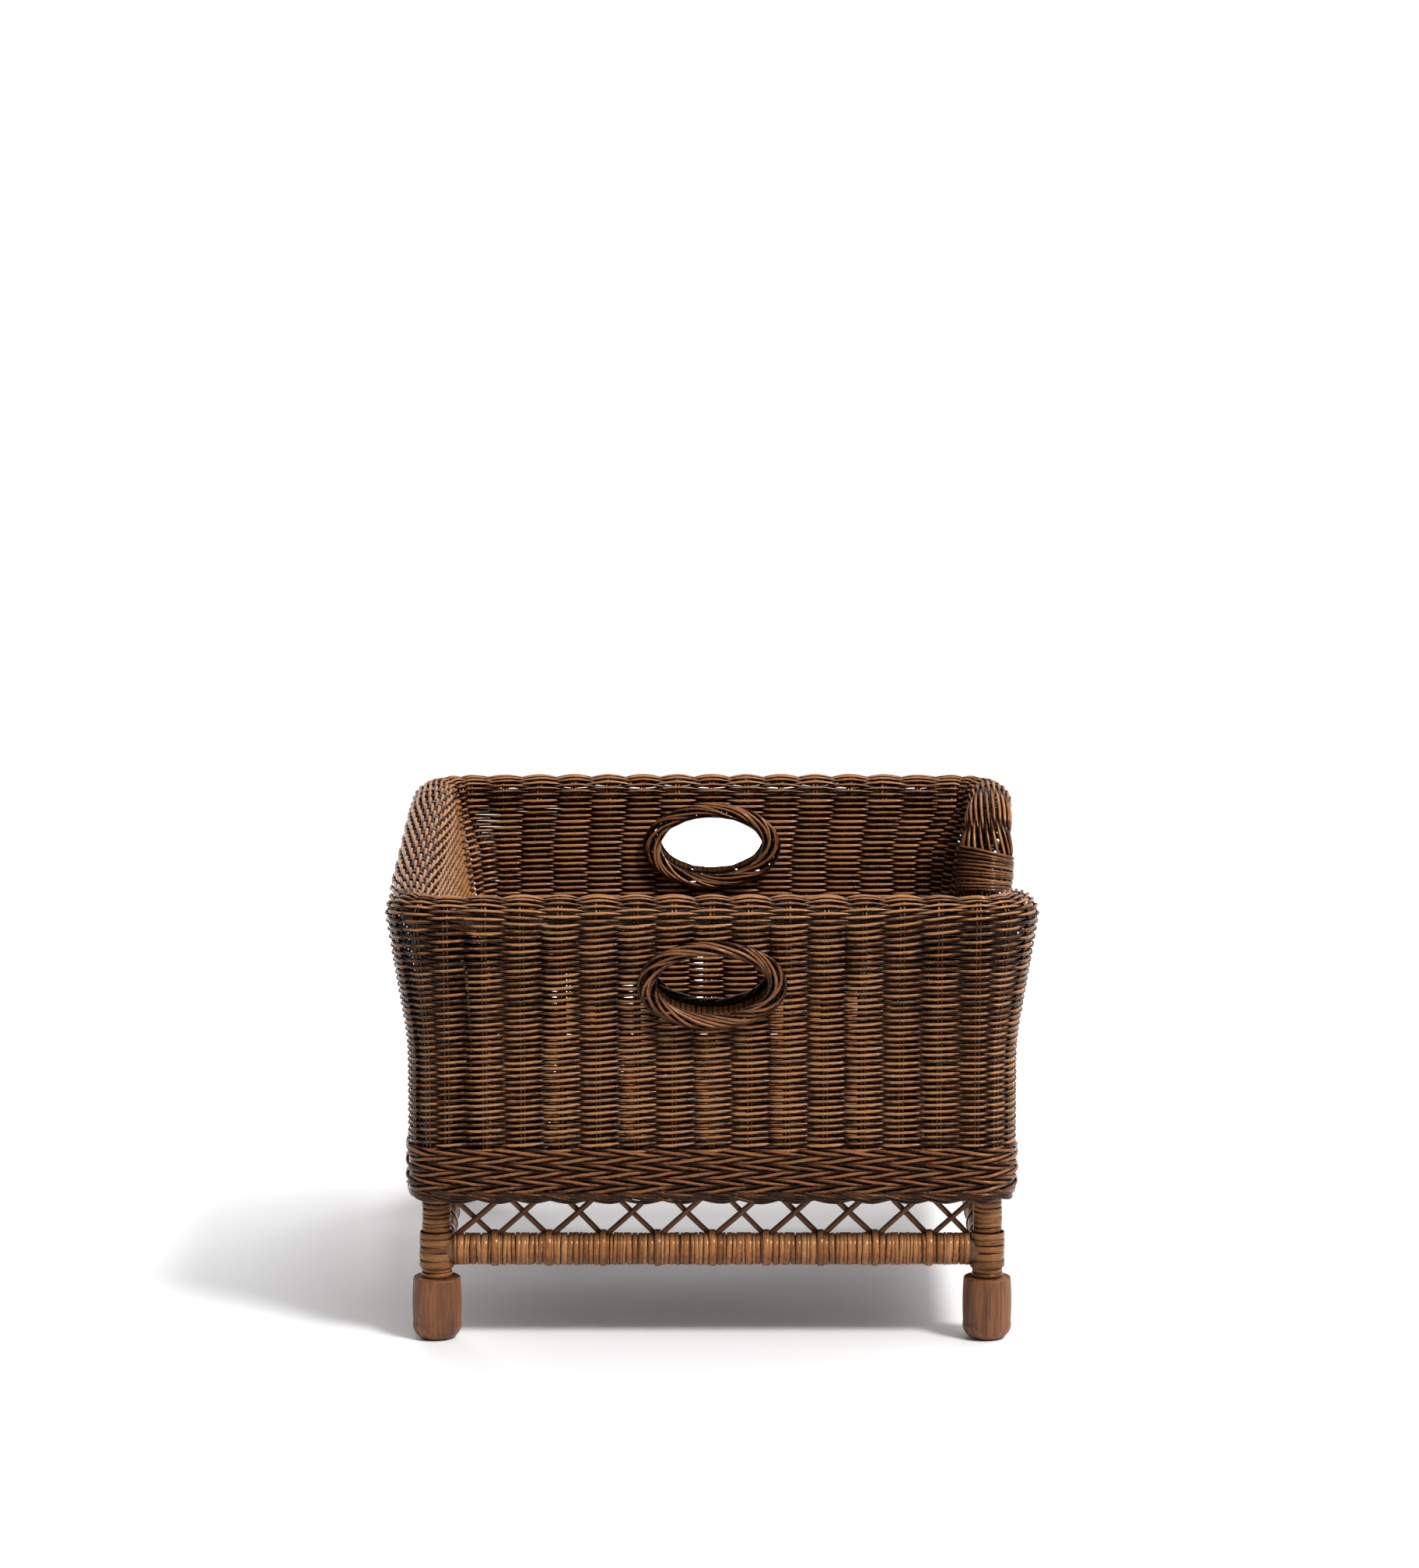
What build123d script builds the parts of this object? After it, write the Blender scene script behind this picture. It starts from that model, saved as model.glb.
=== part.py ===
"""Open woven rattan basket on four short legs, with one side cut low as an entrance.

Frame: +Z up, origin on the floor under the middle of the basket.  The front end faces
-Y, the entrance faces +X.  The walls are double: an outer and an inner woven skin over
cane poles, closed at the top by a rolled rim.  All lengths are millimetres.
"""
from build123d import *
import math
import os

# ---- driving dimensions -------------------------------------------------------------
BASE_WIDTH = 600.0          # outside of the weave along X, below the flare
BASE_DEPTH = 710.0          # outside of the weave along Y, below the flare
RIM_HEIGHT = 450.0          # top of the rolled rim above the floor
WALL = 48.0                 # outer face to inner face of a double wall
SKIN = 9.0                  # thickness of one woven skin
FLARE = 20.0                # how far the rim stands out past the base
FLARE_BEND_Z = 322.0        # height where the walls start to lean out
FLARE_BEND_RADIUS = 250.0
WEAVE_BOTTOM_Z = 154.0
INNER_BOTTOM_Z = 167.2
OUTER_CORNER = 40.0         # plan radius of the outer skin at the base
INNER_CORNER = 26.0         # plan radius of the inner face at the base
GAP = 0.1                   # clearance between pieces that only touch

ROLL_RADIUS = WALL / 2
ROLL_Z = RIM_HEIGHT - ROLL_RADIUS
ROLL_INSET = WALL / 2 - FLARE
RIM_POLE_RADIUS = 10.0

SILL_Z = 261.0              # centre of the roll along the low entrance sill
ENTRANCE_TOP_HALF = 273.0   # half widths of the entrance outline, before rounding
ENTRANCE_SILL_HALF = 238.0
ENTRANCE_TOP_RADIUS = 50.0
ENTRANCE_SILL_RADIUS = 100.0
WRAP_THICKNESS = 3.4
WRAP_LENGTH = 38.0

POST_X = 272.5
POST_Y = 323.0
POST_RADIUS = 12.0
POST_BEND_Z = 310.0
POST_BEND_RADIUS = 200.0
POST_TOP = (11.5, 16.0, 413.0)   # outward lean in x and y, height of the top

FOOT_RADIUS = 24.2
FOOT_HEIGHT = 62.0
FOOT_SOCKET_Z = 12.0
PIN_RADIUS = 2.5
PIN_Z = 36.0
PIN_PAST_AXIS = 4.0         # how far inside the post's axis the pin ends

RAIL_Z = 90.0
RAIL_RADIUS = 13.5
CANE = 3.0                  # thickness of the cane binding with its overlap
LASHING_RADIUS = 17.0
LASHING_HALF_HEIGHT = 18.0
POST_BINDING_TOP = 140.5
CUTTER_TOP = 300.0          # the posts are straight and upright up to here

BASE_RAIL_Z = 158.0
BASE_RAIL_RADIUS = 9.0
DECK_BAR_Y = 118.0
DECK_THICKNESS = 10.0

ROPE_RADIUS = 6.0
ROPE_Z = 147.5
WALING_Z = (157.0, 198.0)
WALING_PROUD = 3.2

HANDLE_Z = {"front": 367.0, "back": 379.0}
HANDLE_HOLE = (57.0, 31.5)   # half axes of the clear opening
LINER = 3.5
RING_PATH = (65.0, 40.0)     # half axes of the ring's centre line
RING_SECTION = (8.5, 6.5)    # half width across the ring, half thickness off the wall
RING_LIFT = 1.8              # clearance that follows the bend of the wall

LATTICE_PITCH = 53.7
LATTICE_ROD = 2.5
LATTICE_LAYER = 2.7
LATTICE_Z = (110.4, 146.5)
LATTICE_FOOT = 5.0           # rod start beside its tie
TIE_WIDTH = 6.7
TIE_THICKNESS = 1.6

HALF_WIDTH = BASE_WIDTH / 2
HALF_DEPTH = BASE_DEPTH / 2
LEAN = math.atan2(FLARE, ROLL_Z - FLARE_BEND_Z)

# A wall is drawn facing -Y and then turned to its side: distance of its outer face
# from the middle, half length of the side, turn about Z.
SIDES = {
    "front": (HALF_DEPTH, HALF_WIDTH, 0.0),
    "back": (HALF_DEPTH, HALF_WIDTH, 180.0),
    "right": (HALF_WIDTH, HALF_DEPTH, 90.0),
    "left": (HALF_WIDTH, HALF_DEPTH, -90.0),
}
CORNERS = {
    "front_left": (-1, -1),
    "front_right": (1, -1),
    "back_left": (-1, 1),
    "back_right": (1, 1),
}


# ---- small helpers ------------------------------------------------------------------
def write_node(name, shape):
    export_step(Compound(children=list(shape.solids())), f"parts/{name}.step")


def turned(shape, side):
    return Rot(0, 0, SIDES[side][2]) * shape


def rod(start, end, radius):
    """Round bar between two points."""
    axis = Vector(*end) - Vector(*start)
    plane = Plane(origin=start, z_dir=axis)
    return extrude(plane * Circle(radius), amount=axis.length)


def tube(outer, inner, start, end):
    return rod(start, end, outer) - rod(start, end, inner)


def section_plane(x, face):
    """Plane across a wall that faces -Y: local x is the inset, local y is height."""
    return Plane(origin=(x, -face, 0), x_dir=(0, 1, 0), z_dir=(1, 0, 0))


def straight_run(section, face, half):
    return extrude(section_plane(-half, face) * section, amount=2 * half)


def corner_run(section, face, half, corner_inset, sign):
    """Quarter turn of a wall section about the upright axis of a corner."""
    profile = section_plane(sign * half, face) * section
    axis = Axis((sign * half, corner_inset - face, 0), (0, 0, sign))
    return revolve(profile, axis=axis, revolution_arc=90)


def wall_with_corners(section, side, corner_inset):
    face, half, _ = SIDES[side]
    straight_half = half - corner_inset
    run = straight_run(section, face, straight_half)
    for sign in (-1, 1):
        run += corner_run(section, face, straight_half, corner_inset, sign)
    return run


def plan_outline(inset, radius):
    return RectangleRounded(BASE_WIDTH - 2 * inset, BASE_DEPTH - 2 * inset, radius)


# ---- wall sections ------------------------------------------------------------------
def skin_section(inset, bottom_z):
    """One woven skin: upright below, leaning out towards the rim."""
    outline = Polyline(
        (inset, bottom_z),
        (inset, FLARE_BEND_Z),
        (inset - FLARE, ROLL_Z),
        (inset - FLARE + SKIN, ROLL_Z),
        (inset + SKIN, FLARE_BEND_Z),
        (inset + SKIN, bottom_z),
        close=True,
    )
    face = make_face(outline)
    bends = [v for v in face.vertices() if abs(v.Y - FLARE_BEND_Z) < 1e-6]
    return fillet(bends, FLARE_BEND_RADIUS)


def roll_section(outer, inner):
    """Upper half of a ring: the weave rolled over the rim pole."""
    ring = Circle(outer) - Circle(inner)
    return ring & Pos(0, outer) * Rectangle(3 * outer, 2 * outer)


OUTER_SECTION = skin_section(0.0, WEAVE_BOTTOM_Z)
INNER_SECTION = skin_section(WALL - SKIN, INNER_BOTTOM_Z)
ROLL_SECTION = Pos(ROLL_INSET, ROLL_Z) * roll_section(ROLL_RADIUS, ROLL_RADIUS - SKIN)
POLE_SECTION = Pos(ROLL_INSET, ROLL_Z) * Circle(RIM_POLE_RADIUS)
INNER_CORNER_INSET = WALL + INNER_CORNER


# ---- low entrance in the right wall -------------------------------------------------
def entrance_plane():
    """Leaning plane of the entrance outline, for a wall that faces -Y."""
    rise = ROLL_Z - SILL_Z
    origin = (0, WALL / 2 - HALF_WIDTH, SILL_Z)
    return Plane(origin=origin, x_dir=(1, 0, 0), z_dir=(0, -rise, -FLARE))


def entrance_outline():
    rise = math.hypot(ROLL_Z - SILL_Z, FLARE)
    end = HALF_DEPTH - OUTER_CORNER
    points = [
        (-end, rise),
        (-ENTRANCE_TOP_HALF, rise),
        (-ENTRANCE_SILL_HALF, 0),
        (ENTRANCE_SILL_HALF, 0),
        (ENTRANCE_TOP_HALF, rise),
        (end, rise),
    ]
    top, sill = ENTRANCE_TOP_RADIUS, ENTRANCE_SILL_RADIUS
    return FilletPolyline(*points, radius=[top, sill, sill, top])


def entrance_cutter():
    outline = entrance_outline()
    start, end = outline @ 0, outline @ 1
    above = end.Y + 2 * WALL
    closing = Polyline((end.X, end.Y), (end.X, above), (start.X, above), (start.X, start.Y))
    area = make_face(outline.edges() + closing.edges())
    return extrude(entrance_plane() * area, amount=2 * WALL, both=True)


def sweep_along_entrance(section):
    path = entrance_plane() * entrance_outline()
    start = path @ 0
    rise = ROLL_Z - SILL_Z
    plane = Plane(origin=start, x_dir=(0, rise, FLARE), z_dir=(1, 0, 0))
    return sweep(plane * section, path=path)


def entrance_wrap(sign):
    """Binding round the steep part of the entrance rim."""
    slope = Vector(ENTRANCE_TOP_HALF - ENTRANCE_SILL_HALF, math.hypot(ROLL_Z - SILL_Z, FLARE), 0)
    bend = math.atan2(slope.Y, slope.X)
    top_tangent = ENTRANCE_TOP_RADIUS * math.tan(bend / 2)
    sill_tangent = ENTRANCE_SILL_RADIUS * math.tan(bend / 2)
    middle = (sill_tangent + slope.length - top_tangent) / 2
    along = slope.normalized()
    low = Vector(ENTRANCE_SILL_HALF, 0, 0) + along * (middle - WRAP_LENGTH / 2)
    inner = ROLL_RADIUS + GAP
    outer = inner + WRAP_THICKNESS
    ring = roll_section(outer, inner)
    plane = Plane(origin=low, x_dir=(0, 0, -1), z_dir=along)
    band = extrude(plane * ring, amount=WRAP_LENGTH)
    if sign < 0:
        band = mirror(band, about=Plane.YZ)
    return entrance_plane() * band


# ---- woven body ---------------------------------------------------------------------
def handle_cutter(side, half_axes):
    hole = Ellipse(*half_axes)
    plane = Plane(origin=(0, -HALF_DEPTH + WALL, HANDLE_Z[side]), x_dir=(1, 0, 0), z_dir=(0, -1, 0))
    return extrude(plane * hole, amount=2 * WALL, both=True)


def hole_in_skin(side):
    clear = LINER + GAP
    return handle_cutter(side, (HANDLE_HOLE[0] + clear, HANDLE_HOLE[1] + clear))


def end_wall(section, side, corner_inset):
    run = wall_with_corners(section, side, corner_inset)
    return turned(run - hole_in_skin(side), side) - turned(entrance_cutter(), "right")


def side_wall(section, side, corner_inset):
    face, half, _ = SIDES[side]
    run = straight_run(section, face, half - corner_inset)
    if side == "right":
        run -= entrance_cutter()
        run -= sweep_along_entrance(Circle(RIM_POLE_RADIUS + 3 * GAP))
    return turned(run, side)


def make_weave():
    for side in ("front", "back"):
        write_node(f"outer_weave_{side}", end_wall(OUTER_SECTION, side, OUTER_CORNER))
        write_node(f"inner_weave_{side}", end_wall(INNER_SECTION, side, INNER_CORNER_INSET))
        roll = wall_with_corners(ROLL_SECTION, side, OUTER_CORNER)
        write_node(f"rim_roll_{side}", turned(roll, side))
        pole = wall_with_corners(POLE_SECTION, side, OUTER_CORNER)
        write_node(f"rim_pole_{side}", turned(pole, side))
    for side in ("left", "right"):
        write_node(f"outer_weave_{side}", side_wall(OUTER_SECTION, side, OUTER_CORNER))
        write_node(f"inner_weave_{side}", side_wall(INNER_SECTION, side, INNER_CORNER_INSET))
    write_node("rim_roll_left", side_wall(ROLL_SECTION, "left", OUTER_CORNER))
    write_node("rim_pole_left", side_wall(POLE_SECTION, "left", OUTER_CORNER))
    sill_roll = sweep_along_entrance(roll_section(ROLL_RADIUS, ROLL_RADIUS - SKIN))
    write_node("entrance_roll", turned(sill_roll, "right"))
    write_node("entrance_pole", turned(sweep_along_entrance(Circle(RIM_POLE_RADIUS)), "right"))
    write_node("entrance_wrap_front", turned(entrance_wrap(-1), "right"))
    write_node("entrance_wrap_back", turned(entrance_wrap(1), "right"))


def make_base_trim():
    waling = plan_outline(-WALING_PROUD, OUTER_CORNER + WALING_PROUD)
    waling -= plan_outline(-GAP, OUTER_CORNER + GAP)
    low, high = WALING_Z
    write_node("waling_band", Pos(0, 0, low) * extrude(waling, amount=high - low))
    path = plan_outline(ROPE_RADIUS, OUTER_CORNER - ROPE_RADIUS).wire()
    path = Pos(0, 0, ROPE_Z) * path
    section = Plane(origin=path @ 0, z_dir=path % 0) * Circle(ROPE_RADIUS)
    write_node("border_rope", sweep(section, path=path))


# ---- hand holes ---------------------------------------------------------------------
def wall_face_plane(side, inset):
    """Plane on the leaning face of an end wall at the height of its handle."""
    height = HANDLE_Z[side]
    lean_out = (height - FLARE_BEND_Z) * math.tan(LEAN)
    origin = (0, inset - lean_out - HALF_DEPTH, height)
    outward = (0, -math.cos(LEAN), -math.sin(LEAN))
    return Plane(origin=origin, x_dir=(1, 0, 0), z_dir=outward)


def handle_ring(side, inset, direction):
    face = wall_face_plane(side, inset)
    lift = direction * (RING_LIFT + RING_SECTION[1])
    path = face * Pos(0, 0, lift) * Ellipse(*RING_PATH).wire()
    start = path @ 0
    tangent = path % 0
    section_at = Plane(origin=start, x_dir=face.z_dir.cross(tangent), z_dir=tangent)
    return sweep(section_at * Ellipse(*RING_SECTION), path=path)


def handle_liner(side):
    outer_axes = (HANDLE_HOLE[0] + LINER, HANDLE_HOLE[1] + LINER)
    sleeve = handle_cutter(side, outer_axes) - handle_cutter(side, HANDLE_HOLE)
    size = 4 * WALL
    outer_face = wall_face_plane(side, 0)
    inner_face = wall_face_plane(side, WALL)
    beyond = outer_face * Pos(0, 0, size / 2) * Box(size, size, size)
    behind = inner_face * Pos(0, 0, -size / 2) * Box(size, size, size)
    return sleeve - beyond - behind


def make_handles():
    for side in ("front", "back"):
        write_node(f"handle_ring_{side}_outer", turned(handle_ring(side, 0, 1), side))
        write_node(f"handle_ring_{side}_inner", turned(handle_ring(side, WALL, -1), side))
        write_node(f"handle_liner_{side}", turned(handle_liner(side), side))


# ---- legs and rails -----------------------------------------------------------------
def post(sx, sy):
    x, y = sx * POST_X, sy * POST_Y
    out_x, out_y, top_z = POST_TOP
    path = FilletPolyline(
        (x, y, FOOT_SOCKET_Z + GAP),
        (x, y, POST_BEND_Z),
        (x + sx * out_x, y + sy * out_y, top_z),
        radius=POST_BEND_RADIUS,
    )
    pole = sweep(Plane(origin=path @ 0, z_dir=(0, 0, 1)) * Circle(POST_RADIUS), path=path)
    return pole - pin_hole(sx, sy)


def pin_ends(sx, sy, clearance):
    """Ends of the foot pin, driven in from the side that faces under the basket."""
    inner = (sx * (POST_X - PIN_PAST_AXIS + clearance), sy * POST_Y, PIN_Z)
    outer = (sx * (POST_X - FOOT_RADIUS + 1 - 4 * clearance), sy * POST_Y, PIN_Z)
    return inner, outer


def pin_hole(sx, sy):
    return rod(*pin_ends(sx, sy, 1), PIN_RADIUS + GAP)


def foot(sx, sy):
    """Turned cup with a softly rounded base and a slightly barrelled side."""
    base_flat, base_side_z, top_radius, top_edge = 14.0, 17.0, 23.4, 1.6
    bore = POST_RADIUS + GAP
    side_start = FOOT_RADIUS - 0.5
    profile = [
        Line((0, 0), (base_flat, 0)),
        ThreePointArc((base_flat, 0), (FOOT_RADIUS - 3.1, 4.8), (side_start, base_side_z)),
        ThreePointArc((side_start, base_side_z), (FOOT_RADIUS, 30), (top_radius, FOOT_HEIGHT - top_edge)),
        ThreePointArc(
            (top_radius, FOOT_HEIGHT - top_edge),
            (top_radius - 0.5, FOOT_HEIGHT - 0.5),
            (top_radius - top_edge, FOOT_HEIGHT),
        ),
        Line((top_radius - top_edge, FOOT_HEIGHT), (bore, FOOT_HEIGHT)),
        Line((bore, FOOT_HEIGHT), (bore, FOOT_SOCKET_Z)),
        Line((bore, FOOT_SOCKET_Z), (0, FOOT_SOCKET_Z)),
        Line((0, FOOT_SOCKET_Z), (0, 0)),
    ]
    face = make_face([edge for line in profile for edge in line.edges()])
    cup = revolve(Plane.XZ * face, axis=Axis.Z)
    cup = Pos(sx * POST_X, sy * POST_Y, 0) * cup
    return cup - pin_hole(sx, sy)


def rail_ends(side, height, trim=0.0):
    """End points of a straight rail on the line of the posts."""
    if side in ("front", "back"):
        y = -POST_Y if side == "front" else POST_Y
        return (-POST_X + trim, y, height), (POST_X - trim, y, height)
    x = -POST_X if side == "left" else POST_X
    return (x, -POST_Y + trim, height), (x, POST_Y - trim, height)


def post_cylinders(radius):
    upright = [
        rod((sx * POST_X, sy * POST_Y, 0), (sx * POST_X, sy * POST_Y, CUTTER_TOP), radius)
        for sx, sy in CORNERS.values()
    ]
    return upright[0] + upright[1:]


def lower_rail(side):
    rail = rod(*rail_ends(side, RAIL_Z), RAIL_RADIUS) - post_cylinders(POST_RADIUS + GAP)
    middle = max(rail.solids(), key=lambda s: s.volume)
    if side in ("left", "right"):
        for end in ("front", "back"):
            middle -= rod(*rail_ends(end, RAIL_Z), RAIL_RADIUS + GAP)
        middle = max(middle.solids(), key=lambda s: s.volume)
    return middle


def rail_binding(side):
    ends = rail_ends(side, RAIL_Z, LASHING_RADIUS + 0.3)
    return tube(RAIL_RADIUS + CANE, RAIL_RADIUS + GAP, *ends)


def post_binding(sx, sy):
    """Cane wound on the post, thicker where it lashes the rails to it."""
    x, y = sx * POST_X, sy * POST_Y
    start_z = FOOT_HEIGHT + 0.3
    wound = rod((x, y, start_z), (x, y, POST_BINDING_TOP), POST_RADIUS + CANE)
    low, high = RAIL_Z - LASHING_HALF_HEIGHT, RAIL_Z + LASHING_HALF_HEIGHT
    wound += rod((x, y, low), (x, y, high), LASHING_RADIUS)
    wound -= rod((x, y, 0), (x, y, CUTTER_TOP), POST_RADIUS + GAP)
    for side in SIDES:
        wound -= rod(*rail_ends(side, RAIL_Z), RAIL_RADIUS + GAP)
    return wound


def make_legs():
    for corner, (sx, sy) in CORNERS.items():
        write_node(f"post_{corner}", post(sx, sy))
        write_node(f"foot_{corner}", foot(sx, sy))
        write_node(f"post_binding_{corner}", post_binding(sx, sy))
    pins = [rod(*pin_ends(sx, sy, 0), PIN_RADIUS) for sx, sy in CORNERS.values()]
    write_node("foot_pins", pins[0] + pins[1:])
    for side in SIDES:
        write_node(f"lower_rail_{side}", lower_rail(side))
        write_node(f"rail_binding_{side}", rail_binding(side))


# ---- floor of the basket ------------------------------------------------------------
def base_rail_ends(side):
    face, half, _ = SIDES[side]
    return (-half + WALL, WALL / 2 - face, BASE_RAIL_Z), (half - WALL, WALL / 2 - face, BASE_RAIL_Z)


def make_floor():
    posts = post_cylinders(POST_RADIUS + GAP)
    for side in SIDES:
        rail = turned(rod(*base_rail_ends(side), BASE_RAIL_RADIUS), side)
        write_node(f"base_rail_{side}", rail - posts)
    reach = HALF_WIDTH - WALL / 2
    for end, y in (("front", -DECK_BAR_Y), ("back", DECK_BAR_Y)):
        bar = rod((-reach, y, BASE_RAIL_Z), (reach, y, BASE_RAIL_Z), BASE_RAIL_RADIUS)
        for side in ("left", "right"):
            bar -= turned(rod(*base_rail_ends(side), BASE_RAIL_RADIUS + GAP), side)
        write_node(f"deck_bar_{end}", max(bar.solids(), key=lambda s: s.volume))
    deck = plan_outline(WALL + 5 * GAP, INNER_CORNER - 5 * GAP)
    write_node("woven_deck", Pos(0, 0, INNER_BOTTOM_Z) * extrude(deck, amount=DECK_THICKNESS))


# ---- lattice skirt ------------------------------------------------------------------
def lattice_points(span):
    """Places along a rail where two rods meet, evenly spaced about its middle."""
    count = int((span - LASHING_RADIUS - LATTICE_PITCH / 2) / LATTICE_PITCH)
    return [k * LATTICE_PITCH for k in range(-count, count + 1)]


def lattice_side(side):
    """Rods that rise each way from every tie, in two layers, and one from each corner."""
    line = POST_Y if side in ("front", "back") else POST_X
    span = POST_X if side in ("front", "back") else POST_Y
    low, high = LATTICE_Z
    rise = high - low
    corner_start = span - LASHING_RADIUS - LATTICE_FOOT
    rods = []
    for way in (-1, 1):
        y = -line - way * LATTICE_LAYER
        starts = [x + way * LATTICE_FOOT for x in lattice_points(span)]
        starts.append(-way * corner_start)
        for x in starts:
            rods.append(rod((x, y, low), (x + way * rise, y, high), LATTICE_ROD))
    return turned(rods[0] + rods[1:], side)


def tie_rings(side):
    line = POST_Y if side in ("front", "back") else POST_X
    span = POST_X if side in ("front", "back") else POST_Y
    inner = RAIL_RADIUS + CANE + GAP
    rings = []
    for x in lattice_points(span):
        start = (x - TIE_WIDTH / 2, -line, RAIL_Z)
        end = (x + TIE_WIDTH / 2, -line, RAIL_Z)
        rings.append(turned(tube(inner + TIE_THICKNESS, inner, start, end), side))
    return rings


def make_lattice():
    ties = []
    for side in SIDES:
        write_node(f"lattice_{side}", lattice_side(side))
        ties += tie_rings(side)
    write_node("lattice_ties", ties[0] + ties[1:])


os.makedirs("parts", exist_ok=True)
make_weave()
make_base_trim()
make_handles()
make_legs()
make_floor()
make_lattice()
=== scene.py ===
"""Rattan basket on four short legs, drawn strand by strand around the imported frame.

Row frame: +Z up, metres, origin on the floor under the middle.  The front end faces -Y and
the low entrance faces +X.  Going round the basket, stakes are numbered anticlockwise seen
from above, from the left end of the front wall.
"""
import math
from collections import defaultdict

import bpy
import numpy as np
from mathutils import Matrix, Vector


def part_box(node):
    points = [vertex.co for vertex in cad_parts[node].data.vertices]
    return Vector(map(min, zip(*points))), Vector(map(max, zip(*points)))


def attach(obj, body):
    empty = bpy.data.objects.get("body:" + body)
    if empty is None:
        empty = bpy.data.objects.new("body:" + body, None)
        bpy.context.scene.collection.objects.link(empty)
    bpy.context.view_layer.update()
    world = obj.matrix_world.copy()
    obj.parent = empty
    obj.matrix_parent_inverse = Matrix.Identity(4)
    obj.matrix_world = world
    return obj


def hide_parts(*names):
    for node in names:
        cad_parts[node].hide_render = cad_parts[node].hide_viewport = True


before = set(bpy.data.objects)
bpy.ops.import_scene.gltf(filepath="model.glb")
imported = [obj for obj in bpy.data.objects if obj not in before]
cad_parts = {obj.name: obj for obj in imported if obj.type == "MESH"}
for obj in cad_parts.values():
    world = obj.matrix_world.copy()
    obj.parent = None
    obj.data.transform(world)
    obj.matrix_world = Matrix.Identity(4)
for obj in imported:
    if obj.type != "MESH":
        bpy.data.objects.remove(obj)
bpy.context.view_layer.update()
MM = 0.001
PI = math.pi
TAU = 2 * PI
rng = np.random.default_rng(11)
vary = rng.uniform


# ---- sizes read from the frame
def middle(node):
    low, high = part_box(node)
    return (low + high) / 2


def half_size(node):
    low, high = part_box(node)
    return (high - low) / 2


HALF_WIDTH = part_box("border_rope")[1].x
HALF_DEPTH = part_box("border_rope")[1].y
ROLL_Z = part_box("outer_weave_front")[1].z
RIM_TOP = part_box("rim_roll_front")[1].z
RIM_BULGE = 1.5 * MM  # the woven rim stands out this much past its solid
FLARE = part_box("outer_weave_front")[1].x - HALF_WIDTH + RIM_BULGE
DECK_LOW, DECK_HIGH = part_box("woven_deck")
POST_X = middle("foot_front_right").x
POST_Y = middle("foot_back_right").y
FOOT_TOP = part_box("foot_front_right")[1].z
RAIL_Z = middle("lower_rail_front").z
RAIL_RADIUS = half_size("lower_rail_front").z
WALING_LOW, WALING_HIGH = (corner.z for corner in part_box("waling_band"))
LATTICE_LOW, LATTICE_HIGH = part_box("lattice_front")
BINDING_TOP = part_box("post_binding_front_left")[1].z
LASHING_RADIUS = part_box("post_binding_front_right")[1].x - POST_X

WALL = 48 * MM  # outer face to inner face of a double wall
OUTER_CORNER = 40 * MM  # plan radius of the outer face
INNER_AXIS = 74 * MM  # how far in the axis of an inner corner stands
FLARE_BEND_Z = 300 * MM
FLARE_BEND_RADIUS = 250 * MM
POST_RADIUS = 12 * MM
SILL_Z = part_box("entrance_pole")[0].z + 10 * MM
ROLL_RADIUS = RIM_TOP - ROLL_Z

CORE = 1.7 * MM  # radius of the round weavers
INNER_THICKER = 1.12  # the inner skin is woven of slightly thicker rod, and closes better
STAKE = 1.5 * MM  # radius of the paired upright rods
STAKE_APART = 1.75 * MM  # each rod of a pair off the stake's line
WAVE = CORE + STAKE  # how far a weaver swings each way round the stakes
PROUD = 2.0 * MM  # bulges stand this far out of the plain faces of the solid model
SKIN_MID = WAVE + CORE - PROUD  # stakes lie this deep under the face

STEPS = 8  # mesh steps from one stake to the next
END_STAKES, CORNER_STAKES, SIDE_STAKES = 14, 3, 17
STRETCHES = [END_STAKES, CORNER_STAKES, SIDE_STAKES, CORNER_STAKES] * 2
STAKES = sum(STRETCHES)
CORNER_MIDDLES = np.cumsum(STRETCHES)[1::2] - CORNER_STAKES / 2
# stakes of each side; the corners belong to the front and the back
SPANS = {"front": (-3, 17), "right": (17, 34), "back": (34, 54), "left": (54, 71)}

HIDDEN_ROWS = 13  # plain rows behind the waling
OUTER_ROWS = 86  # from the foot of the weave to the foot of the rolled rim
SILL_ROW = 33  # the row level with the foot of the entrance roll
ROLL_ROWS = 19
INNER_ROWS = 78  # down the inside
ROW_PITCH = (ROLL_Z - SILL_Z) / (OUTER_ROWS - 1 - SILL_ROW)
ROLL_MID = ROLL_RADIUS - SKIN_MID
CORNER_CLIMB = 9 * MM  # rows at the foot of the roll climb this much round a corner
CORNER_CALM = 0.35  # share of the swing that weavers lose round a corner
REACH = WAVE + CORE  # the outermost a weaver comes from the middle of its skin
SETTLE = 60 * MM  # stretch over which one shape passes into another
BEHIND_WALING = 6 * MM  # rows stand back this far behind the waling
ROW_TILT = 0.65 * MM  # how far a weaver of the outer skin slants, each way


# ---- strands
def round_profile(sides):
    """Section of a round strand as (across, outward) pairs."""
    angle = np.arange(sides) * TAU / sides
    return np.stack([np.cos(angle), np.sin(angle)], axis=1)


def full_turn(count):
    """Evenly spaced angles of a whole turn."""
    return np.arange(count) / count * TAU


def around(first, second, turn):
    """Directions at the given turns, in radians, from first towards second."""
    return first * np.cos(turn) + second * np.sin(turn)


FLAT_PROFILE = np.array([(1, 0), (0.82, 0.72), (0, 1), (-0.82, 0.72), (-1, 0), (-0.7, -0.8), (0.7, -0.8)])


def unit(vectors):
    return vectors / np.maximum(np.linalg.norm(vectors, axis=-1, keepdims=True), 1e-12)


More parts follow.
